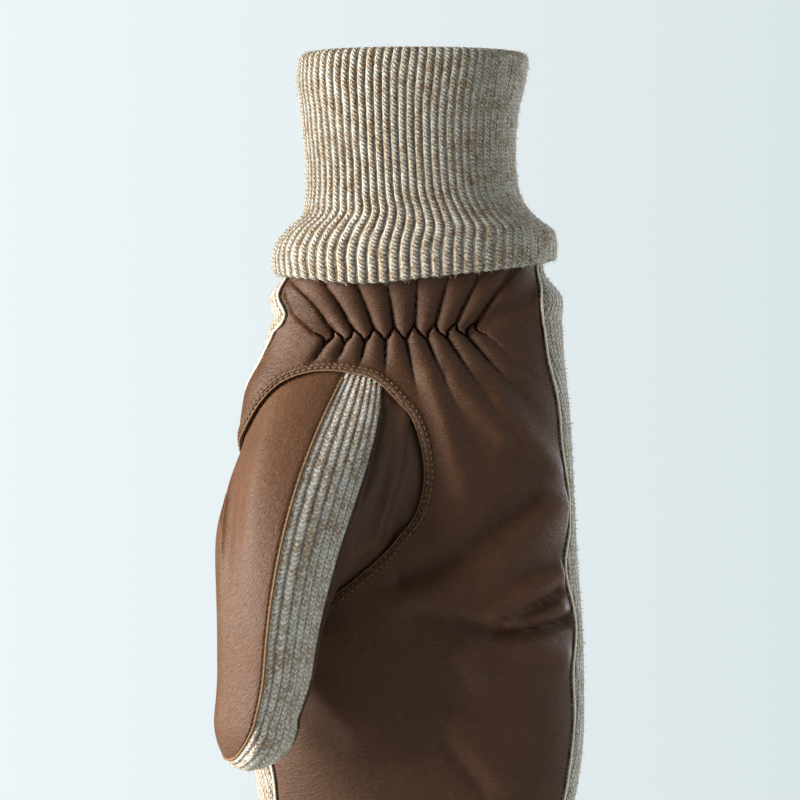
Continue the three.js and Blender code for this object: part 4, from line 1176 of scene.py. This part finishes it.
def cuff_profile(edge):
    """Loop in rows: a quarter circle over the fold, straight down to the free edge, half a circle
    round it, up to the leather, down inside the hand and up again to the other half of the fold."""
    thick = CUFF_LAYER + GAP / 2
    top = CUFF_HEIGHT - thick
    slot = HEM_RISE + 2 * GAP
    tuck = HEM_RISE - CUFF_TUCK
    inside = KNIT - KNIT_PROUD + 2 * GAP
    half = CUFF_LAYER / 2
    bend = np.radians(np.linspace(90, 0, 9))[:, None]
    hem = np.radians(np.linspace(0, 180, 9))[1:, None]
    flat = np.ones_like(edge)
    up = np.linspace(0, 1, 12)[:, None]
    rise = mix(flat * tuck, flat * top, np.linspace(0, 1, 40)[1:, None])
    blend = smoothstep((rise - tuck) / INNER_BLEND)
    parts = [
        profile_rows(flat * (top + thick * np.sin(bend)), thick - thick * np.cos(bend)),
        profile_rows(mix(top, edge + half, np.linspace(0, 1, 96)[1:, None]), 0.0),
        profile_rows(edge + half * (1 - np.sin(hem)), half * (1 - np.cos(hem)), 1.0, 1 - hem / np.pi * 0.6),
        profile_rows(mix(edge + half, flat * slot, up)[1:], CUFF_LAYER, 1.0, 0.3),
        profile_rows(flat[None] * slot, inside, 0.0, 0.0),
        profile_rows(mix(flat * slot, flat * tuck, up)[1:], inside, 0.0, 0.0),
        profile_rows(flat[None] * tuck, inside + CUFF_LAYER, 0.0, 0.0),
        profile_rows(rise, mix(inside + CUFF_LAYER, 2 * thick, blend), blend, blend),
        profile_rows(flat * (top + thick * np.sin(bend[-2:0:-1])), thick + thick * np.cos(bend[-2:0:-1])),
    ]
    return [np.concatenate(column) for column in zip(*parts)]


# %% Cuff
RIB_DEPTH = 0.9
RIB_ROUND = 0.7
SCALLOP = 0.22
OUTSIDE_ROWS = 110


def make_cuff():
    """The loop carried round the wrist. Each point lies on the cuff's superellipse or the hand's,
    less its depth and less a groove of RIB_DEPTH (1 - |sin(pi rib)|^0.7) between two ribs, which
    waver by up to a twentieth of a rib. The free edge waves by SCALLOP cos(2 pi rib)."""
    rib, angle = cuff_ribs()
    edge = read(FREE_EDGE, "angle", "level", angle) * CUFF_HEIGHT + SCALLOP * np.cos(2 * np.pi * rib)
    z, depth, on_cuff, ribbed = cuff_profile(edge)
    outside = depth < 1.5 * CUFF_LAYER
    wobble = 0.03 * np.sin(z / 6.5 + 3 * np.sin(rib / 5)) + 0.02 * np.sin(z / 2.9 + rib)
    shown = rib + wobble * outside
    groove = 1 - np.abs(np.sin(np.pi * shown)) ** RIB_ROUND
    sink = depth + np.where(outside, 1, -1) * ribbed * RIB_DEPTH * groove
    middle = np.broadcast_to(angle, z.shape)
    at_hand = on_section(hand_section(z), middle, z, -sink)
    at_cuff = on_section(cuff_section(z), middle, z, -sink)
    points = mix(at_hand, at_cuff, on_cuff[..., None])
    loop = np.concatenate([points, points[:1]])
    down_run = run_along(loop, 0).mean(1, keepdims=True)
    course = np.broadcast_to(down_run, loop.shape[:2]) / COURSE["cuff"]
    uv = np.stack([np.concatenate([shown, shown[:1]]), course], -1).reshape(-1, 2)
    faces = grid_faces(*loop.shape[:2])
    make_piece("cuff_knit", loop.reshape(-1, 3), faces, cuff_wool, "cuff", uv=uv)
    return loop[:OUTSIDE_ROWS]


cuff_surface = make_cuff()

# %% [markdown]
# ## Seams, welt and stitches
# The thumb's front leather ends in a welt, a narrow rolled edge with the raw tan side of the
# leather showing, and a cream yarn runs down both seams between palm and back. Both are round
# cords along a seam. A stitch is a short bead of thread, and one row is one mesh of many beads.

# %% Paths
def at_pitch(path, normals, pitch):
    """Points and normals at an even pitch along a path, by its running length."""
    run = run_along(path, 0)
    at = np.arange(pitch / 2, run[-1], pitch)
    centre, normal = (
        np.stack([np.interp(at, run, part[:, k]) for k in range(3)], -1) for part in (path, normals))
    return centre, unit(normal)


def across_path(path, normals):
    """Unit vectors along a path, to its side and up from it."""
    along = unit(np.gradient(path, axis=0))
    side = unit(np.cross(normals, along))
    return along, side, np.cross(along, side)


# %% Sewn cords and stitches
def cord(name, path, normals, radius, material, sides=8):
    """Round cord: path + radius (cos u up + sin u side), with rows of radius 0 to close its ends."""
    _, side, up = across_path(path, normals)
    centre, side, up = (np.pad(part, ((1, 1), (0, 0)), "edge")[:, None] for part in (path, side, up))
    size = np.pad(np.full(len(path), radius), 1)[:, None, None]
    u = np.linspace(0, 2 * np.pi, sides + 1)[:, None]
    grid = centre + size * (np.cos(u) * up + np.sin(u) * side)
    make_piece(name, grid.reshape(-1, 3), grid_faces(*grid.shape[:2]), material)


def stitch_row(name, path, normals, size, material):
    """Row of long beads: each is an ellipsoid whose rows are sin v along the path, and whose rings
    are cos v (cos u up + sin u side)."""
    centre, normal = at_pitch(path, normals, STITCH_PITCH)
    along, side, up = (part[:, None, None] for part in across_path(centre, normal))
    u, v = np.linspace(0, 2 * np.pi, 7)[:, None], np.linspace(-np.pi / 2, np.pi / 2, 5)[:, None, None]
    ring = np.cos(u) * up + np.sin(u) * side
    bead = centre[:, None, None] + size[0] / 2 * np.sin(v) * along + size[1] / 2 * np.cos(v) * ring
    shift = bead[0, ..., 0].size * np.arange(len(centre))[:, None, None]
    faces = (grid_faces(*bead.shape[1:3]) + shift).reshape(-1, 3)
    make_piece(name, bead.reshape(-1, 3), faces, material)


# %% Thread, raw edge and yarn
def plain_fibre(name, light, dark, grain):
    """Twisted thread, yarn or raw leather: matt, in two tones that change by noise at the grain,
    which keeps a thin line from looking drawn. Grain is in noise cells for each metre."""
    material, tree, shader = new_material(name, Roughness=0.8, Sheen_Weight=0.15)
    place = add(tree, "TexCoord", output="Object")
    tone = add(tree, "TexNoise", {"Vector": place, "Scale": grain, "Detail": 3.0})
    tint = add(tree, "Mix", {
        "Factor": tone, "A": linear(dark), "B": linear(light)}, output="Result", data_type="RGBA")
    bump = add(tree, "Bump", {"Height": tone, "Distance": 0.0002, "Strength": 0.5})
    tree.links.new(tint, shader.inputs["Base Color"])
    tree.links.new(bump, shader.inputs["Normal"])
    return material


thread = plain_fibre("waxed_tan_thread", "#9a7748", "#62452a", 900.0)
raw_edge = plain_fibre("raw_leather_edge", "#8d6c44", "#573d26", 500.0)
seam_yarn = plain_fibre("cream_seam_yarn", "#f6f1e2", "#cdbf9f", 700.0)
fibre = plain_fibre("loose_wool_fibre", "#ddd7c6", "#a79c86", 300.0)
print("threads:", thread.name, raw_edge.name, seam_yarn.name, fibre.name)

# %% Stitches and raw edge of the opening
OPENING_STITCH = (1.45, 0.36)
THREAD_SUNK = 0.02
RAW_EDGE = {"radius": 0.26, "sunk": 0.3}
band_directions = np.linspace(0, 360, 361)
for row, extra in enumerate(BAND_ROWS):
    angle, z = opening_chart(band_directions, extra)
    lift = palm_relief(angle, z) + BAND["height"] - roll("opening", extra) - THREAD_SUNK
    stitch_row("opening_stitches_%d" % (row + 1), palm_point(angle, z, 0, lift), hand_normal(angle, z),
               OPENING_STITCH, thread)

angle, z = opening_chart(band_directions)
edge = palm_point(angle, z, RAW_EDGE["sunk"], palm_relief(angle, z))
cord("opening_edge", edge, hand_normal(angle, z), RAW_EDGE["radius"], raw_edge, 6)

# %% Yarn in the long seams
YARN = {"radius": 0.42, "proud": 0.3}
YARN_START = HEM_RISE - 2
seam_z = np.concatenate([
    np.linspace(YARN_START, ROUND_END - HAND_LENGTH, 120)[:-1], end_rows(40)[:-1]])
for side in ("left", "right"):
    angle = read(SEAMS, "level", side, hand_level(seam_z))
    normal = hand_normal(angle, seam_z)
    path = hand_point(angle, seam_z) + YARN["proud"] * normal
    cord("seam_yarn_" + side, path, normal, YARN["radius"], seam_yarn)

# %% Welt of the thumb
WELT = {"radius": 0.42, "proud": 0.1}
WELT_STITCH = (1.4, 0.3)


def along_front(inset):
    """Path that runs inset millimetres inside the edge of the thumb's front leather: down the welt,
    round the tongue and up the other seam."""
    down = np.linspace(1.02, 3, 90)
    end = THUMB_SEAMS["front"][0]
    first = beside(360, down, -1, inset) - 360, down
    last = beside(end, down[::-1], 1, inset) - 360, down[::-1]
    reach = TONGUE_REACH["front"] + inset * 2 / (np.pi * THUMB_CAP)
    tongue = tongue_curve(first[0][-1], last[0][0], reach, np.linspace(0, 1, 50)[1:-1])
    round_tip = from_disc(tongue)
    angle, stage = (np.concatenate(parts) for parts in zip(first, round_tip, last))
    return sleeve(angle, stage), sleeve_normal(angle, stage)


path, normals = along_front(0.0)
cord("thumb_welt", path + WELT["proud"] * normals, normals, WELT["radius"], raw_edge)
path, normals = along_front(WELT_ROWS[0])
stitch_row("welt_stitches", path - WELT_STITCH[1] * normals, normals, WELT_STITCH, thread)

# %% [markdown]
# ## Loose fibres
# Wool is hairy: fibres stand off every stitch and blur the outline of cuff and back. A particle
# system would vanish in the exported model, so the fibres are thin real spikes, each bent once.

# %% Fuzz
FIBRE = {"root": 0.06, "middle": 0.045}
SPIKE = np.array([
    [0, 2, 1], [0, 1, 4], [0, 4, 3], [1, 2, 5], [1, 5, 4], [2, 0, 3], [2, 3, 5],
    [3, 4, 6], [4, 5, 6], [5, 3, 6]])


def fuzz(name, grid, count, reach, seed):
    """Bent three-sided spikes from random points of a surface. Its lower half leans along the normal
    plus 0.5 of a random vector, and its upper half along that plus 0.6 of another. It is thicker
    than a real fibre, because a finer one would not show."""
    random = np.random.default_rng(seed)
    pick = random.integers(0, grid[..., 0].size, count)
    normal = grid_normals(grid).reshape(-1, 3)[pick]
    lean = unit(normal + 0.5 * random.normal(size=(count, 3)))
    bend = unit(lean + 0.6 * random.normal(size=(count, 3)))
    half = reach * random.uniform(0.2, 0.5, (count, 1))
    root = grid.reshape(-1, 3)[pick] - 0.1 * normal
    side = unit(np.cross(lean, [0.3, 0.5, 0.8]))
    turn = np.radians([0, 120, 240])[:, None]
    ring = np.cos(turn) * side[:, None] + np.sin(turn) * np.cross(lean, side)[:, None]
    middle = root + lean * half
    points = np.concatenate([
        root[:, None] + FIBRE["root"] * ring,
        middle[:, None] + FIBRE["middle"] * ring,
        (middle + bend * half)[:, None]], 1)
    faces = SPIKE + points.shape[1] * np.arange(count)[:, None, None]
    make_piece(name, points.reshape(-1, 3), faces.reshape(-1, 3), fibre, sharp=180)


fuzz("cuff_fuzz", cuff_surface, 6000, 2.3, 1)
fuzz("back_fuzz", back_surface, 6000, 2.1, 2)
fuzz("strip_fuzz", strip_surface, 1200, 1.6, 3)

# %% [markdown]
# ## Studio
# The photograph is a plain studio shot: a pale wall, a large soft light at the left, and a pale
# wall and card at the right that brighten that edge and lift the shadows. The camera looks level
# from a metre away, which keeps the mitten's proportions as the eye sees them.

# %% Camera
CAMERA_DISTANCE = 1.0
FRAME_WIDTH = 0.276
AIM = (-0.00483, -0.02415)
SENSOR = 36.0

camera_data = bpy.data.cameras.new("camera")
camera = bpy.data.objects.new("camera", camera_data)
bpy.context.collection.objects.link(camera)
camera_data.sensor_width = SENSOR
camera_data.lens = SENSOR * CAMERA_DISTANCE / FRAME_WIDTH
camera.location = (AIM[0], -CAMERA_DISTANCE, AIM[1])
camera.rotation_euler = (np.pi / 2, 0, 0)
bpy.context.scene.camera = camera
print("lens: %.1f mm" % camera_data.lens)

# %% Lights
def soft_light(name, place, target, width, power, colour):
    """Square area light that looks at a point."""
    data = bpy.data.lights.new(name, "AREA")
    data.size = width
    data.energy = power
    data.color = linear(colour)[:3]
    lamp = bpy.data.objects.new(name, data)
    bpy.context.collection.objects.link(lamp)
    lamp.location = place
    lamp.rotation_euler = (Vector(target) - Vector(place)).to_track_quat("-Z", "Y").to_euler()
    print("%s: %g W" % (name, power))


WRIST = (0, 0, -0.03)
soft_light("key", (-1.25, -0.27, 0.18), WRIST, 0.8, 57, "#fff6ec")
soft_light("wall_right", (1.0, 0.75, 0.1), WRIST, 0.9, 17, "#f0f6ff")
soft_light("card_right", (1.1, -0.55, 0.4), WRIST, 1.0, 6.0, "#f4f7fb")

# %% Paper behind, painted lighter at the left
world = bpy.data.worlds.new("studio")
bpy.context.scene.world = world
world.use_nodes = True
background = world.node_tree.nodes["Background"]
# Painted light: the paper is lighter at the left, where the key light stands, and greyer at the right.
direction = add(world.node_tree, "TexCoord", output="Generated")
sideways = add(world.node_tree, "SeparateXYZ", {"Vector": direction}, output="X")
fade = add(world.node_tree, "MapRange", {"Value": sideways, "From Min": -0.14, "From Max": 0.14})
paper_with_painted_light = add(world.node_tree, "Mix", {"Factor": fade, "A": linear("#eef6f9"), "B": linear("#dbe6e9")},
            output="Result", data_type="RGBA")
seen = add(world.node_tree, "LightPath", output="Is Camera Ray")
strength = add(world.node_tree, "MapRange", {"Value": seen, "To Min": 0.12, "To Max": 1.0})
world.node_tree.links.new(paper_with_painted_light, background.inputs["Color"])
world.node_tree.links.new(strength, background.inputs["Strength"])

# %% Floor
bpy.ops.mesh.primitive_circle_add(vertices=96, radius=1.0, fill_type="NGON", location=(0, 0, -0.36))
floor = bpy.context.object
floor.name = "floor"
# Matt grey-white, so the floor gives back a soft light with no highlight of its own.
paint, paint_tree, paint_shader = new_material("matt_white_floor_paint", Roughness=0.8)
paint_shader.inputs["Base Color"].default_value = linear("#b4babb")
floor.data.materials.append(paint)
bpy.context.scene.view_settings.view_transform = "Standard"
